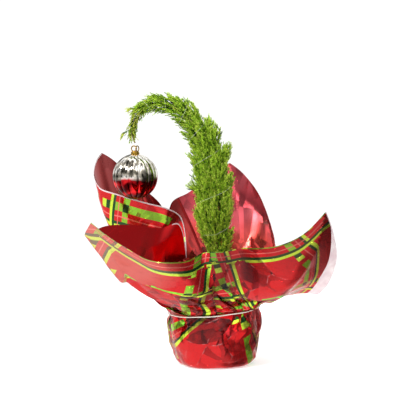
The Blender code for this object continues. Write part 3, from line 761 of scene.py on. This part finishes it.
class CYPRESS_OT_film_wrap(bpy.types.Operator):
    """Gather a flat square of film round the pot and flare it above the tie"""

    bl_idname = "cypress.film_wrap"
    bl_label = "Film Wrap"

    def execute(self, context):
        settings = context.scene.cypress_film
        deselect_all()
        bpy.ops.mesh.primitive_grid_add(x_subdivisions=settings.cells,
                                        y_subdivisions=settings.cells, size=SHEET * MM)
        sheet = context.object
        # cells are finer round the pot, where the film is creased most
        flat = read_points(sheet)[:, :2] / (SHEET / 2)
        flat = flat * (0.6 + 0.4 * np.abs(flat)**1.6) * (SHEET / 2)
        wedge = settings.clear_wedge / MM
        plain = flat.copy()
        flat[:, 0] = slant_columns(flat, wedge)
        distance = np.hypot(flat[:, 0], flat[:, 1])
        turn = turn_of(flat)
        folded, tie_level, rim_level, closed = fold_film(turn, distance)
        # the outermost rows follow the sheet's edge exactly
        reach = np.minimum(distance, edge_run(folded))
        reach = np.where(distance > 2 * NECK_ON_SHEET,
                         distance / edge_run(turn) * edge_run(folded), reach)
        points = film_at(folded, reach)
        normals = film_normals(folded, reach)
        bent = np.stack([np.cos(folded), np.sin(folded)], axis=1) * distance[:, None]
        # coarse crumples and finer ones over them
        crumple = crumple_heights(bent, random.Random(12))
        crumple += crumple_heights(bent * 2.3, random.Random(31)) * 0.30
        # a fold stands out most where it is half open, and all lies close under the tie
        half_open = closed * (1 - closed) * 4.0
        near_tie = np.clip(np.abs(distance - NECK_ON_SHEET) / 10.0, 0.25, 1.0)
        lift = (tie_level * (0.55 + 2.4 * half_open) + crumple) * near_tie + rim_level * 2.0
        ledge, under = shelf(folded, reach)
        lift += ledge * SHELF_DEPTH
        points += normals * lift[:, None]
        points[:, 1] = np.clip(points[:, 1], CAD_BOX[0][1] / MM + INSIDE_BOX,
                               CAD_BOX[1][1] / MM - INSIDE_BOX)
        points[:, 2] = np.maximum(points[:, 2], ABOVE_FLOOR)
        points[distance < FOOT_ON_SHEET, 2] = ABOVE_FLOOR
        write_points(sheet, points)

        layer = sheet.data.uv_layers.active or sheet.data.uv_layers.new()
        layer.name = FLAT
        corners = np.empty(len(sheet.data.loops), np.int32)
        sheet.data.loops.foreach_get("vertex_index", corners)
        printed = flat.copy()
        printed[under, 1] += TUCKED
        layer.data.foreach_set("uv", (printed[corners] / SHEET).astype(np.float32).ravel())

        # the sheet was cut askew: a clear wedge at its right, a clear edge at part of its left
        middles = plain[corners].reshape(-1, 4, 2).mean(axis=1)
        clear = (middles[:, 0] > SHEET / 2 - wedge) & (middles[:, 1] < WEDGE_END)
        clear |= (middles[:, 0] < -SHEET / 2 + 2.0) & (middles[:, 1] > CLEAR_EDGE_START)
        margin = film_clear()
        finishes = [film_print(settings), film_lining(settings), margin, margin]
        close_shell(sheet, holes=False)
        probe = np.argmin(np.abs(flat[:, 0] - 60) + np.abs(flat[:, 1]))
        if Vector(sheet.data.vertices[probe].normal).dot(Vector(normals[probe])) < 0:
            sheet.data.flip_normals()
        hand_over(sheet, "film_sheet", "film", finishes, "film_wrap")
        sheet.data.polygons.foreach_set("material_index",
                                        np.where(clear, 2, 0).astype(np.int32))
        wall = sheet.modifiers.new("thickness", "SOLIDIFY")
        wall.thickness = settings.thickness
        wall.offset = -1.0
        wall.material_offset = 1
        wall.material_offset_rim = 0
        only(sheet)
        bpy.ops.object.modifier_apply(modifier="thickness")
        bpy.ops.object.shade_smooth_by_angle(angle=math.radians(7))
        return {"FINISHED"}


# ---- the stem ------------------------------------------------------------------------------
class Stem:
    """The stem's centreline, read by arrays of shares of its length."""

    def __init__(self):
        knots = np.array([(x, 0.0, z) for x, z in STEM_LINE])
        chord = np.concatenate([[0], np.cumsum(np.linalg.norm(np.diff(knots, axis=0), axis=1))])
        self.points = hermite(chord, knots, np.linspace(0, chord[-1], 401))
        steps = np.linalg.norm(np.diff(self.points, axis=0), axis=1)
        self.lengths = np.concatenate([[0], np.cumsum(steps)])
        self.length = self.lengths[-1]

    def at(self, share):
        want = np.clip(share, 0, 1) * self.length
        return np.stack([np.interp(want, self.lengths, self.points[:, k]) for k in range(3)],
                        axis=-1)

    def frame(self, share):
        """Point, direction along the stem and outer side of the bend; the third way is +Y."""
        share = np.asarray(share, float)
        along = unit(self.at(share + 0.006) - self.at(share - 0.006))
        outer = np.stack([along[..., 2], np.zeros_like(share), -along[..., 0]], axis=-1)
        return self.at(share), along, outer

    def radius(self, share):
        plain = STEM_FOOT_RADIUS + (STEM_TIP_RADIUS - STEM_FOOT_RADIUS) * share
        return plain + ROOT_FLARE * np.exp(-share * self.length / (ROOT_FLARE_HEIGHT / 2))

    def place(self, share, turn, reach):
        """Places at a share of the stem, a turn round it and a distance from its line."""
        point, _, outer = self.frame(share)
        side = np.array([0.0, 1.0, 0.0])
        way = outer * np.cos(turn)[..., None] + side * np.sin(turn)[..., None]
        return point + way * np.asarray(reach)[..., None]


def crown_radius(share):
    return np.interp(share, [row[0] for row in CROWN], [row[1] for row in CROWN])


def bark():
    """Young cypress bark: thin, red-brown, peeling in upright strips a millimetre or so wide."""
    return mottled("cypress bark", 900.0, [(0.3, "#3B2112"), (0.55, "#7A4A2B"), (0.75, "#A87B55")],
                   detail=6.0, stretch=(1, 1, 0.15), depth=0.0006, Roughness=0.82)


class CYPRESS_OT_stem(bpy.types.Operator):
    """Grow the stem as one tapering limb with stringy bark"""

    bl_idname = "cypress.stem"
    bl_label = "Stem"

    def execute(self, context):
        stem = Stem()
        share, turn, faces = ring_grid(np.linspace(0.0005, 1, 260), 28)
        # long ridges of bark and narrower ones, which wander round the stem as they rise
        twist = share * 5.0
        ridges = (0.10 * np.sin(7 * turn + twist + 2.2 * np.sin(share * 60))
                  + 0.06 * np.sin(13 * turn - 2 * twist + 3 * np.sin(share * 90)))
        points = stem.place(share, turn, stem.radius(share) * (1 + ridges))
        limb = mesh_piece("stem_bark", points, faces)
        close_shell(limb)
        hand_over(limb, "stem_bark", "bark", bark(), *STEM_NODES)
        bpy.ops.object.shade_smooth_by_angle(angle=math.radians(50))
        return {"FINISHED"}


# ---- the foliage ---------------------------------------------------------------------------
TINTS = {                      # plain greens, dealt out by spray
    "needles_deep": "#40700A",
    "needles_mid": "#A2D22A",
    "needles_bright": "#C8EE48",
    "needles_fresh": "#DCF860",
    "needles_olive": "#D4DC54",
}
DEEP, MID, BRIGHT, FRESH, OLIVE = range(len(TINTS))


def needle_green(name, hex_colour):
    """Waxy young cypress needles: soft gloss, slightly lighter and duller in patches."""
    base = linear(hex_colour)
    dull, pale = (tuple(min(1.0, c * by) for c in base[:3]) + (1.0,) for by in (0.72, 1.35))
    return mottled(name, 240.0, [(0.35, dull), (0.5, base), (0.68, pale)], Roughness=0.55,
                   Specular_IOR_Level=0.2)


class Spray:
    """Collects shoots as short straight runs, each with its size and its tint."""

    def __init__(self):
        self.starts, self.ends, self.sizes, self.tints = [], [], [], []

    def add(self, points, sizes, tint):
        self.starts.append(points[:-1])
        self.ends.append(points[1:])
        self.sizes.append(np.broadcast_to(sizes, len(points) - 1))
        self.tints.append(np.full(len(points) - 1, tint))

    def runs(self):
        return [np.concatenate(each) for each in (self.starts, self.ends, self.sizes, self.tints)]


def pinch(share, turn):
    """The crown is drawn in just above the thread and flares again below the next turn."""
    thread = np.interp(share, THREAD_CROSSINGS, THREAD_TURNS)
    since = ((thread - np.degrees(turn)) % 360) / 360
    return 0.84 + 0.20 * smooth_step(0.0, 0.75, since)


def grow_boughs(stem, count):
    """Boughs that leave the stem, arch outwards and run up along it, with side shoots."""
    dice = np.random.default_rng(7)
    spray = Spray()
    shares = np.linspace(*BOUGH_ENDS, 600)
    weight = np.cumsum(crown_radius(shares)**0.9 + 5.0 * (shares > TIP_START))
    t = np.linspace(0, 1, 7)
    for i in range(count):
        end = float(np.interp((i + dice.random()) / count * weight[-1], weight, shares))
        full = float(crown_radius(end))
        turn = GOLDEN * i + dice.normal(0, 0.15)
        reach = full * float(pinch(end, turn)) * dice.uniform(0.25, 1.0)**0.40
        start = max(end - (full * dice.uniform(0.9, 1.5) + 6.0) / stem.length, FIRST_BOUGH)
        grow_bough(spray, stem, dice, start, end, turn + dice.normal(0, 0.10) * t, reach, t)
    for share, extra in TUFTS:
        full = float(crown_radius(share))
        for _ in range(TUFT_BOUGHS):
            turn = dice.normal(0, 0.75)
            end = share + dice.uniform(-0.02, 0.012)
            reach = full + extra * max(0.2, math.cos(turn)) * dice.uniform(0.3, 1.0)
            grow_bough(spray, stem, dice, end - 0.05 - 0.4 * full / stem.length, end,
                       turn + 0 * t, reach, t)
    for start, end, turn, reach in SPRIGS:
        for twin in range(4):
            lean = math.radians(turn) + (twin - 1.5) * 0.13
            far = reach * (1.0 - 0.09 * abs(twin - 1.5))
            grow_bough(spray, stem, dice, start, end, lean + 0 * t, far, t)
    return spray


def grow_bough(spray, stem, dice, start, end, turn, reach, t):
    """One bough, with side shoots that fork forwards; each is deep green in the crown, partly the
    needles' own older green and partly painted shade, and fresh at its tip."""
    foot = float(stem.radius(start)) * 0.8
    path = stem.place(start + (end - start) * t**1.2, turn,
                      foot + (reach - foot) * (0.75 * (1 - (1 - t)**2) + 0.25 * t**3))
    full = float(crown_radius(end))
    fresh = int(dice.choice([BRIGHT, BRIGHT, FRESH] if start < TIP_START else
                            [OLIVE, OLIVE, FRESH]))
    middle = MID if start < TIP_START else OLIVE
    size = float(np.interp(full, [5, 12, 25], [0.72, 0.88, 1.0]))
    spray.add(path[:4], size * 0.75, DEEP)
    spray.add(path[3:6], size * 0.95, middle)
    spray.add(path[5:], size, fresh)
    total = np.linalg.norm(np.diff(path, axis=0), axis=1).sum()
    shoots = max(3, int(total / SHOOT_SPACING))
    for k in range(shoots):
        at = 0.28 + 0.66 * (k + dice.random() * 0.7) / shoots
        place = at * (len(path) - 1)
        index = min(int(place), len(path) - 2)
        root = path[index] + (path[index + 1] - path[index]) * (place - index)
        along = unit(path[index + 1] - path[index])
        aside = unit(np.cross(along, dice.normal(size=3)))
        length = size * dice.uniform(*SHOOT_LENGTHS) * (1.2 - 0.45 * at)
        way = unit(along + aside * dice.uniform(0.25, 0.70))
        bend = root + way * length * 0.45
        knee = bend + (way * 0.75 + along * 0.35) * length * 0.30
        tip = knee + (way * 0.6 + along * 0.5) * length * 0.27
        # deep green inside the crown: partly the needles' own older green, partly painted shade
        own = int(dice.choice([DEEP, middle, middle, BRIGHT])) if at > 0.4 else DEEP
        spray.add(np.array([root, bend]), size * 0.8, own if at > 0.43 else DEEP)
        spray.add(np.array([bend, knee]), size * 0.95, own)
        spray.add(np.array([knee, tip]), size * 0.95, MID if own == DEEP else fresh)


def clothe(spray, needle, spacing):
    """Needles along every run, as slim four-sided spikes: for each tint, points and faces."""
    dice = np.random.default_rng(21)
    starts, ends, sizes, tints = spray.runs()
    runs = np.linalg.norm(ends - starts, axis=1)
    counts = np.maximum(1, np.round(runs / (spacing * np.maximum(sizes, 0.6)))).astype(int)
    owner = np.repeat(np.arange(len(runs)), counts)
    order = np.arange(len(owner)) - np.repeat(np.cumsum(counts) - counts, counts)
    share = (order + dice.random(len(owner))) / counts[owner]
    along = (ends - starts)[owner] / runs[owner][:, None]
    root = starts[owner] + (ends - starts)[owner] * share[:, None]
    aside, other = across(along)
    spin = np.arange(len(owner)) * NEEDLE_TURN + dice.normal(0, 0.3, len(owner))
    away = aside * np.cos(spin)[:, None] + other * np.sin(spin)[:, None]
    lean = dice.uniform(0.38, 0.78, len(owner))[:, None]
    way = along * np.cos(lean) + away * np.sin(lean)
    length = (needle * sizes[owner] * dice.uniform(0.75, 1.15, len(owner)))[:, None]
    flank = unit(np.cross(way, away))
    lift = np.cross(flank, way)
    half = 0.19 * length
    corners = np.stack([root + flank * half, root - flank * half,
                        root + lift * half + way * half, root + way * length], axis=1)
    made = {}
    for number, name in enumerate(TINTS):
        mine = corners[tints[owner] == number]
        made[name] = (mine.reshape(-1, 3),
                      copies([(0, 1, 2), (0, 3, 1), (1, 3, 2), (2, 3, 0)], len(mine)))
    return made


def across(along):
    """Two directions square to each of many directions."""
    seed = np.where(np.abs(along[:, 2:3]) < 0.9, [[0.0, 0.0, 1.0]], [[1.0, 0.0, 0.0]])
    aside = unit(np.cross(along, seed))
    return aside, np.cross(along, aside)


def twig_mesh(spray):
    """Thin three-sided twigs under the needles."""
    starts, ends, sizes, _ = spray.runs()
    aside, other = across(unit(ends - starts))
    rings = []
    for base, grow in ((starts, 0.42), (ends, 0.32)):
        for turn in TWIG_CORNERS:
            rings.append(base + (aside * math.cos(turn) + other * math.sin(turn))
                         * (sizes * grow)[:, None])
    faces = copies([(0, 1, 4), (0, 4, 3), (1, 2, 5), (1, 5, 4), (2, 0, 3), (2, 3, 5),
                    (0, 2, 1), (3, 4, 5)], len(starts))
    return np.stack(rings, axis=1).reshape(-1, 3), faces


class CYPRESS_OT_foliage(bpy.types.Operator):
    """Grow boughs, side shoots and needles round the stem"""

    bl_idname = "cypress.foliage"
    bl_label = "Foliage"

    def execute(self, context):
        settings = context.scene.cypress_plant
        spray = grow_boughs(Stem(), settings.boughs)
        nodes = FOLIAGE_NODES
        for name, (points, faces) in clothe(spray, settings.needle / MM,
                                            settings.spacing / MM).items():
            finish = needle_green(name.replace("_", " "), TINTS[name])
            hand_over(mesh_piece(name, points, faces), name, "foliage", finish, *nodes)
            nodes = ()
        hand_over(mesh_piece("twigs", *twig_mesh(spray)), "twigs", "bark",
                  needle_green("green twig bark", "#5B7322"))
        return {"FINISHED"}


# ---- tie, soil, pot ------------------------------------------------------------------------
class CYPRESS_OT_tie(bpy.types.Operator):
    """Stretch the thin elastic ring that holds the film to the pot"""

    bl_idname = "cypress.tie"
    bl_label = "Elastic Tie"

    def execute(self, context):
        deselect_all()
        bpy.ops.mesh.primitive_torus_add(major_radius=TIE_RADIUS * MM, minor_radius=TIE_CORD * MM,
                                         major_segments=160, minor_segments=12)
        ring = context.object
        points = read_points(ring)
        turn = turn_of(points)
        # it slopes as the neck of the film does, and wavers a little
        points[:, 2] += TIE_HEIGHT - 0.8 + TIE_SLOPE * np.cos(turn) + 0.25 * np.sin(turn * 9)
        write_points(ring, points)
        # white braided elastic thread over a rubber core
        finish, tree, shader = new_material("white elastic thread", Roughness=0.6)
        place = add_node(tree, "TexCoord")["Object"]
        weave = add_node(tree, "TexWave", {"Vector": place, "Scale": 260.0, "Distortion": 4.0},
                         bands_direction="Z")["Fac"]
        cover(tree, shader, add_node(tree, "ValToRGB", (weave,), [(0.2, "#D9D2C4"),
                                                                  (0.8, "#F6F3EA")])[0])
        hand_over(ring, "elastic_thread", "tie", finish, "elastic_tie")
        bpy.ops.object.shade_smooth()
        return {"FINISHED"}


class CYPRESS_OT_soil(bpy.types.Operator):
    """Fill the pot with peat and scatter crumbs and grit on it"""

    bl_idname = "cypress.soil"
    bl_label = "Soil"

    def execute(self, context):
        dice = np.random.default_rng(3)
        top = SOIL_HEIGHT - 0.6
        r, turn, faces = ring_grid(np.linspace(0.6, SOIL_RADIUS, 46), 160)
        x, y = r * np.cos(turn), r * np.sin(turn)
        bumps = sum(np.sin(x * f + y * g + q) for f, g, q in dice.uniform(-0.9, 0.9, (9, 3)) * 2)
        rim = np.clip((SOIL_RADIUS - r) / 6, 0, 1)
        z = top + (0.16 * bumps + dice.uniform(-0.35, 0.35, len(r))) * rim
        bed = mesh_piece("peat", np.stack([x, y, z], axis=1), faces[:, [0, 3, 2, 1]])
        # moist peat compost, dark and fibrous
        peat = mottled("peat compost", 420.0, [(0.3, "#1A110B"), (0.6, "#3D2A1C"),
                                               (0.8, "#6A4E36")],
                       detail=5.0, depth=0.001, Roughness=0.95)
        only(bed)
        bpy.ops.object.mode_set(mode="EDIT")
        bpy.ops.mesh.select_all(action="SELECT")
        bpy.ops.mesh.extrude_region_move(TRANSFORM_OT_translate={"value": (0, 0, -4 * MM)})
        bpy.ops.object.mode_set(mode="OBJECT")
        close_shell(bed)
        hand_over(bed, "peat", "soil", peat, "soil")

        lump = np.array([(1, 0, 0), (-1, 0, 0), (0, 1, 0), (0, -1, 0), (0, 0, 1), (0, 0, -1)])
        sides_of_lump = [(0, 2, 4), (2, 1, 4), (1, 3, 4), (3, 0, 4),
                         (2, 0, 5), (1, 2, 5), (3, 1, 5), (0, 3, 5)]
        # expanded perlite, chalky white grit
        perlite, _, _ = new_material("perlite grit", Base_Color=linear("#D8D2C4"), Roughness=0.9)
        for name, count, sizes, finish in (("peat_crumbs", 1500, (0.7, 1.9), peat),
                                           ("perlite", 70, (0.6, 1.2), perlite)):
            where = SOIL_RADIUS * 0.97 * np.sqrt(dice.random(count))
            turn = dice.uniform(0, 2 * np.pi, count)
            size = dice.uniform(*sizes, count)[:, None, None]
            middle = np.stack([where * np.cos(turn), where * np.sin(turn),
                               np.full(count, top + 0.1)], axis=1)[:, None]
            squat = np.array([1, 1, 0.7])
            points = middle + lump[None] * size * dice.uniform(0.6, 1.2, (count, 6, 1)) * squat
            scatter = mesh_piece(name, points.reshape(-1, 3), copies(sides_of_lump, count))
            hand_over(scatter, name, "soil", finish)
        return {"FINISHED"}


class CYPRESS_OT_pot(bpy.types.Operator):
    """Give the hidden nursery pot its moulded plastic"""

    bl_idname = "cypress.pot"
    bl_label = "Nursery Pot"

    def execute(self, context):
        # injection-moulded polypropylene, brown, satin
        finish = mottled("brown polypropylene", 90.0, [(0.3, "#3A1D15"), (0.7, "#4A271C")],
                         Roughness=0.45)
        pot = bpy.data.objects["nursery_pot"]
        pot.data.materials.clear()
        pot.data.materials.append(finish)
        return {"FINISHED"}


# ---- thread round the foliage --------------------------------------------------------------
class CYPRESS_OT_thread(bpy.types.Operator):
    """Wind a thin pale thread up the foliage"""

    bl_idname = "cypress.thread"
    bl_label = "Thread"

    def execute(self, context):
        stem = Stem()
        turn = np.radians(np.arange(THREAD_TURNS[0] - 60, THREAD_TURNS[-1] + 60, 6.0))
        share = np.interp(np.degrees(turn), THREAD_TURNS, THREAD_CROSSINGS)
        path = stem.place(share, turn, crown_radius(share) * 0.90)
        deselect_all()
        curve = bpy.data.curves.new("thread", "CURVE")
        curve.dimensions = "3D"
        line = curve.splines.new("POLY")
        line.points.add(len(path) - 1)
        line.points.foreach_set("co", np.column_stack([path * MM, np.ones(len(path))]).ravel())
        curve.bevel_depth = THREAD * MM
        curve.bevel_resolution = 1
        curve.use_fill_caps = True
        thread = bpy.data.objects.new("thread", curve)
        context.scene.collection.objects.link(thread)
        only(thread)
        bpy.ops.object.convert(target="MESH")
        # clear nylon thread, bright where it catches the light
        finish, _, _ = new_material("nylon thread", Base_Color=linear("#DDE0C8"), Roughness=0.3)
        hand_over(context.object, "thread", "tie", finish)
        return {"FINISHED"}


# ---- ball ----------------------------------------------------------------------------------
def gilt_tin():
    """Tinplate with a vacuum-metallised gold coating: a satin mirror, faintly cloudy."""
    base = linear("#B08A36")
    dull = tuple(c * 0.86 for c in base[:3]) + (1.0,)
    return mottled("gilt tin", 120.0, [(0.35, dull), (0.6, base)], Metallic=1.0, Roughness=0.22)


def silvered_glass():
    """Thin glass, silvered inside: a bright mirror. Its lower half is painted red, dark and bright
    in
    clouds: a painted reflection of the red film below it."""
    made, tree, shader = new_material("silvered glass", Metallic=1.0, Roughness=0.045)
    place = add_node(tree, "TexCoord")["Object"]
    cloud = add_node(tree, "TexNoise", {"Vector": place, "Scale": 60.0})["Fac"]
    silver, painted_red_reflection = (add_node(tree, "ValToRGB", (cloud,), stops)[0] for stops in (
        [(0.38, "#5A564C"), (0.46, "#B4AC9E"), (0.52, "#F2EEE6")],
        [(0.44, "#3A0507"), (0.52, "#8E0C12"), (0.62, "#E8282C")]))
    height = add_node(tree, "SeparateXYZ", (place,))["Z"]
    # the clouds have 0.5 for their middle, so the painted reflection's edge wanders by a few
    # millimetres about the ball's middle; over the next 4 mm down it covers the silver
    edge = add_node(tree, "Math", (cloud, 0.016, BALL_CENTRE[2] * MM - 0.5 * 0.016),
                    operation="MULTIPLY_ADD")
    depth = add_node(tree, "Math", (edge[0], height), operation="SUBTRACT")[0]
    below = add_node(tree, "MapRange", {"Value": depth, "From Max": 0.004})[0]
    cover(tree, shader, lay_over(tree, silver, [(below, painted_red_reflection)]))
    return made


class CYPRESS_OT_ball(bpy.types.Operator):
    """Blow the fluted ball"""

    bl_idname = "cypress.ball"
    bl_label = "Ball"

    def execute(self, context):
        settings = context.scene.cypress_ornament
        deselect_all()
        bpy.ops.mesh.primitive_uv_sphere_add(segments=settings.flutes * 16, ring_count=72,
                                             radius=BALL_RADIUS * MM)
        ball = context.object
        points = read_points(ball)
        turn = turn_of(points)
        flat = np.hypot(points[:, 0], points[:, 1]) / BALL_RADIUS
        # round flutes with narrow grooves between them, which fade out at the poles
        aside = np.abs((turn / (2 * np.pi) * settings.flutes) % 1.0 - 0.5) * 2
        groove = 0.45 * aside**2 + 0.55 * aside**10
        cut = settings.flute_depth / MM * groove * np.clip(flat * 1.25, 0, 1)**0.8
        points *= (1 - cut / BALL_RADIUS)[:, None]
        write_points(ball, points + np.array(BALL_CENTRE))
        hand_over(ball, "fluted_ball", "ball", silvered_glass(), "ball")
        bpy.ops.object.shade_smooth()
        return {"FINISHED"}


class CYPRESS_OT_fittings(bpy.types.Operator):
    """Make the ball's gilt cap and the two rings that hang it from the tip"""

    bl_idname = "cypress.fittings"
    bl_label = "Cap And Rings"

    def execute(self, context):
        x, y, z = BALL_CENTRE
        gilt = gilt_tin()
        top = z + BALL_RADIUS
        deselect_all()
        bpy.ops.mesh.primitive_cylinder_add(vertices=96, radius=CAP_RADIUS * MM,
                                            depth=CAP_HEIGHT * MM)
        cap = context.object
        bpy.ops.object.mode_set(mode="EDIT")
        bpy.ops.mesh.select_all(action="SELECT")
        bpy.ops.mesh.bevel(offset=0.6 * MM, segments=3, affect="EDGES")
        bpy.ops.object.mode_set(mode="OBJECT")
        points = read_points(cap)
        turn = turn_of(points)
        flare = np.where(points[:, 2] < 0, 1 + 0.045 * np.sin(turn * 16), 0.94)
        points[:, :2] *= flare[:, None]
        write_points(cap, points + np.array([x, y, top + 1.2]))
        hand_over(cap, "gilt_cap", "gilt", gilt, "ball_cap")
        bpy.ops.object.shade_smooth_by_angle(angle=math.radians(40))

        deselect_all()
        for side, lean, spin in ((-1.6, 0.16, -0.30), (2.9, -0.12, 1.05)):
            bpy.ops.mesh.primitive_torus_add(
                major_radius=RING_RADIUS * MM, minor_radius=RING_WIRE * MM, major_segments=48,
                minor_segments=10, rotation=(math.radians(90), lean, spin),
                location=((x + side) * MM, y * MM, (top + 6.6) * MM))
        rings = [each for each in context.scene.objects if each.name.startswith("Torus")]
        deselect_all()
        for each in rings:
            each.select_set(True)
        context.view_layer.objects.active = rings[0]
        bpy.ops.object.join()
        bpy.ops.object.transform_apply(location=True, rotation=True, scale=True)
        hand_over(context.object, "gilt_rings", "gilt", gilt, "hanging_ring")
        bpy.ops.object.shade_smooth()
        return {"FINISHED"}


# ---- stage ---------------------------------------------------------------------------------
def look_at(thing, place):
    """Turn a camera or a lamp towards a place."""
    way = Vector(place) - thing.location
    thing.rotation_euler = way.to_track_quat("-Z", "Y").to_euler()


class CYPRESS_OT_stage(bpy.types.Operator):
    """Set the camera, the pale floor and the soft lights"""

    bl_idname = "cypress.stage"
    bl_label = "Stage"

    def execute(self, context):
        deselect_all()
        bpy.ops.object.camera_add(location=CAMERA)
        camera = context.object
        look_at(camera, CAMERA_AIM)
        camera.data.sensor_width = 36.0
        camera.data.lens = CAMERA_LENS
        context.scene.camera = camera

        deselect_all()
        bpy.ops.mesh.primitive_circle_add(vertices=128, radius=0.52, fill_type="NGON",
                                          location=(0, 0.2, -0.0005))
        floor = context.object
        floor.name = "floor"
        # white acrylic table top, lit faintly from below
        paper, _, _ = new_material("white acrylic", Base_Color=linear("#FBFBFA"), Roughness=0.9,
                                   Emission_Color=(1, 1, 1, 1), Emission_Strength=0.4)
        floor.data.materials.append(paper)
        floor.visible_glossy = False       # reflections see the studio's own table instead

        world = bpy.data.worlds.new("studio")
        context.scene.world = world
        world.use_nodes = True
        tree = world.node_tree
        way = add_node(tree, "TexCoord")["Generated"]
        axes = add_node(tree, "SeparateXYZ", (way,))

        def along_axis(axis, stops):
            share = add_node(tree, "Math", (axes[axis], 0.5, 0.5), operation="MULTIPLY_ADD")[0]
            return add_node(tree, "ValToRGB", (share,), [(0.5 + at / 2, v) for at, v in stops])[0]

        # white table below, a dark room behind the camera and soft boxes above it
        patches = add_node(tree, "TexNoise", {
            "Vector": way, "W": 1.3, "Scale": 2.6, "Detail": 1.5, "Roughness": 0.45},
            noise_dimensions="4D")["Fac"]
        boxes = add_node(tree, "ValToRGB", (patches,), [(0.45, 0.20), (0.55, 1.6)])[0]
        height = along_axis("Z", [(0.0, 0.6), (0.06, 0.55), (0.40, 0.75), (0.55, 1.3),
                                  (0.8, 1.6), (1.0, 1.2)])
        right = along_axis("X", [(0.6, 0.0), (0.85, 1.0)])
        behind = along_axis("Y", [(0.25, 0.0), (0.6, 1.0)])
        table = along_axis("X", [(-1.0, 1.45), (0.22, 1.35), (0.5, 0.5), (0.75, 0.15)])
        below = along_axis("Z", [(-0.12, 1.0), (-0.02, 0.0)])
        seen = add_node(tree, "LightPath")["Is Camera Ray"]
        room = lay_over(tree, boxes, [(1.0, height)], "MULTIPLY")
        room = lay_over(tree, room, [(right, 0.36), (behind, 1.0), (below, table), (seen, 1.1)])
        tree.links.new(room, tree.nodes["Background"].inputs["Color"])
        context.scene.view_settings.view_transform = "Standard"

        for name, place, energy, size in (("key", (-1.2, -1.2, 1.7), 2.2, 12.0),
                                          ("fill", (0.3, -1.8, 0.9), 0.3, 40.0)):
            deselect_all()
            bpy.ops.object.light_add(type="SUN", location=place)
            lamp = context.object
            lamp.name = name
            lamp.data.energy = energy
            lamp.data.angle = math.radians(size)
            look_at(lamp, (0, 0, 0.17))
        return {"FINISHED"}


class CYPRESS_PT_panel(bpy.types.Panel):
    """Lists the pieces in the sidebar"""

    bl_idname = "CYPRESS_PT_panel"
    bl_label = "Crooked Cypress"
    bl_space_type = "VIEW_3D"
    bl_region_type = "UI"
    bl_category = "Cypress"

    def draw(self, context):
        for settings in (context.scene.cypress_film, context.scene.cypress_plant,
                         context.scene.cypress_ornament):
            box = self.layout.box()
            for name in settings.__annotations__:
                box.prop(settings, name)
        for maker in MAKERS:
            self.layout.operator(maker.bl_idname)


MAKERS = (CYPRESS_OT_film_wrap, CYPRESS_OT_tie, CYPRESS_OT_pot, CYPRESS_OT_soil, CYPRESS_OT_stem,
          CYPRESS_OT_foliage, CYPRESS_OT_thread, CYPRESS_OT_ball, CYPRESS_OT_fittings,
          CYPRESS_OT_stage)
CLASSES = (FilmSettings, PlantSettings, OrnamentSettings, *MAKERS, CYPRESS_PT_panel)


def register():
    for each in CLASSES:
        bpy.utils.register_class(each)
    bpy.types.Scene.cypress_film = PointerProperty(type=FilmSettings)
    bpy.types.Scene.cypress_plant = PointerProperty(type=PlantSettings)
    bpy.types.Scene.cypress_ornament = PointerProperty(type=OrnamentSettings)


def unregister():
    del bpy.types.Scene.cypress_ornament
    del bpy.types.Scene.cypress_plant
    del bpy.types.Scene.cypress_film
    for each in reversed(CLASSES):
        bpy.utils.unregister_class(each)


def main():
    register()
    bpy.ops.cypress.film_wrap()
    bpy.ops.cypress.tie()
    bpy.ops.cypress.pot()
    bpy.ops.cypress.soil()
    bpy.ops.cypress.stem()
    bpy.ops.cypress.foliage()
    bpy.ops.cypress.thread()
    bpy.ops.cypress.ball()
    bpy.ops.cypress.fittings()
    bpy.ops.cypress.stage()


if __name__ == "__main__":
    main()
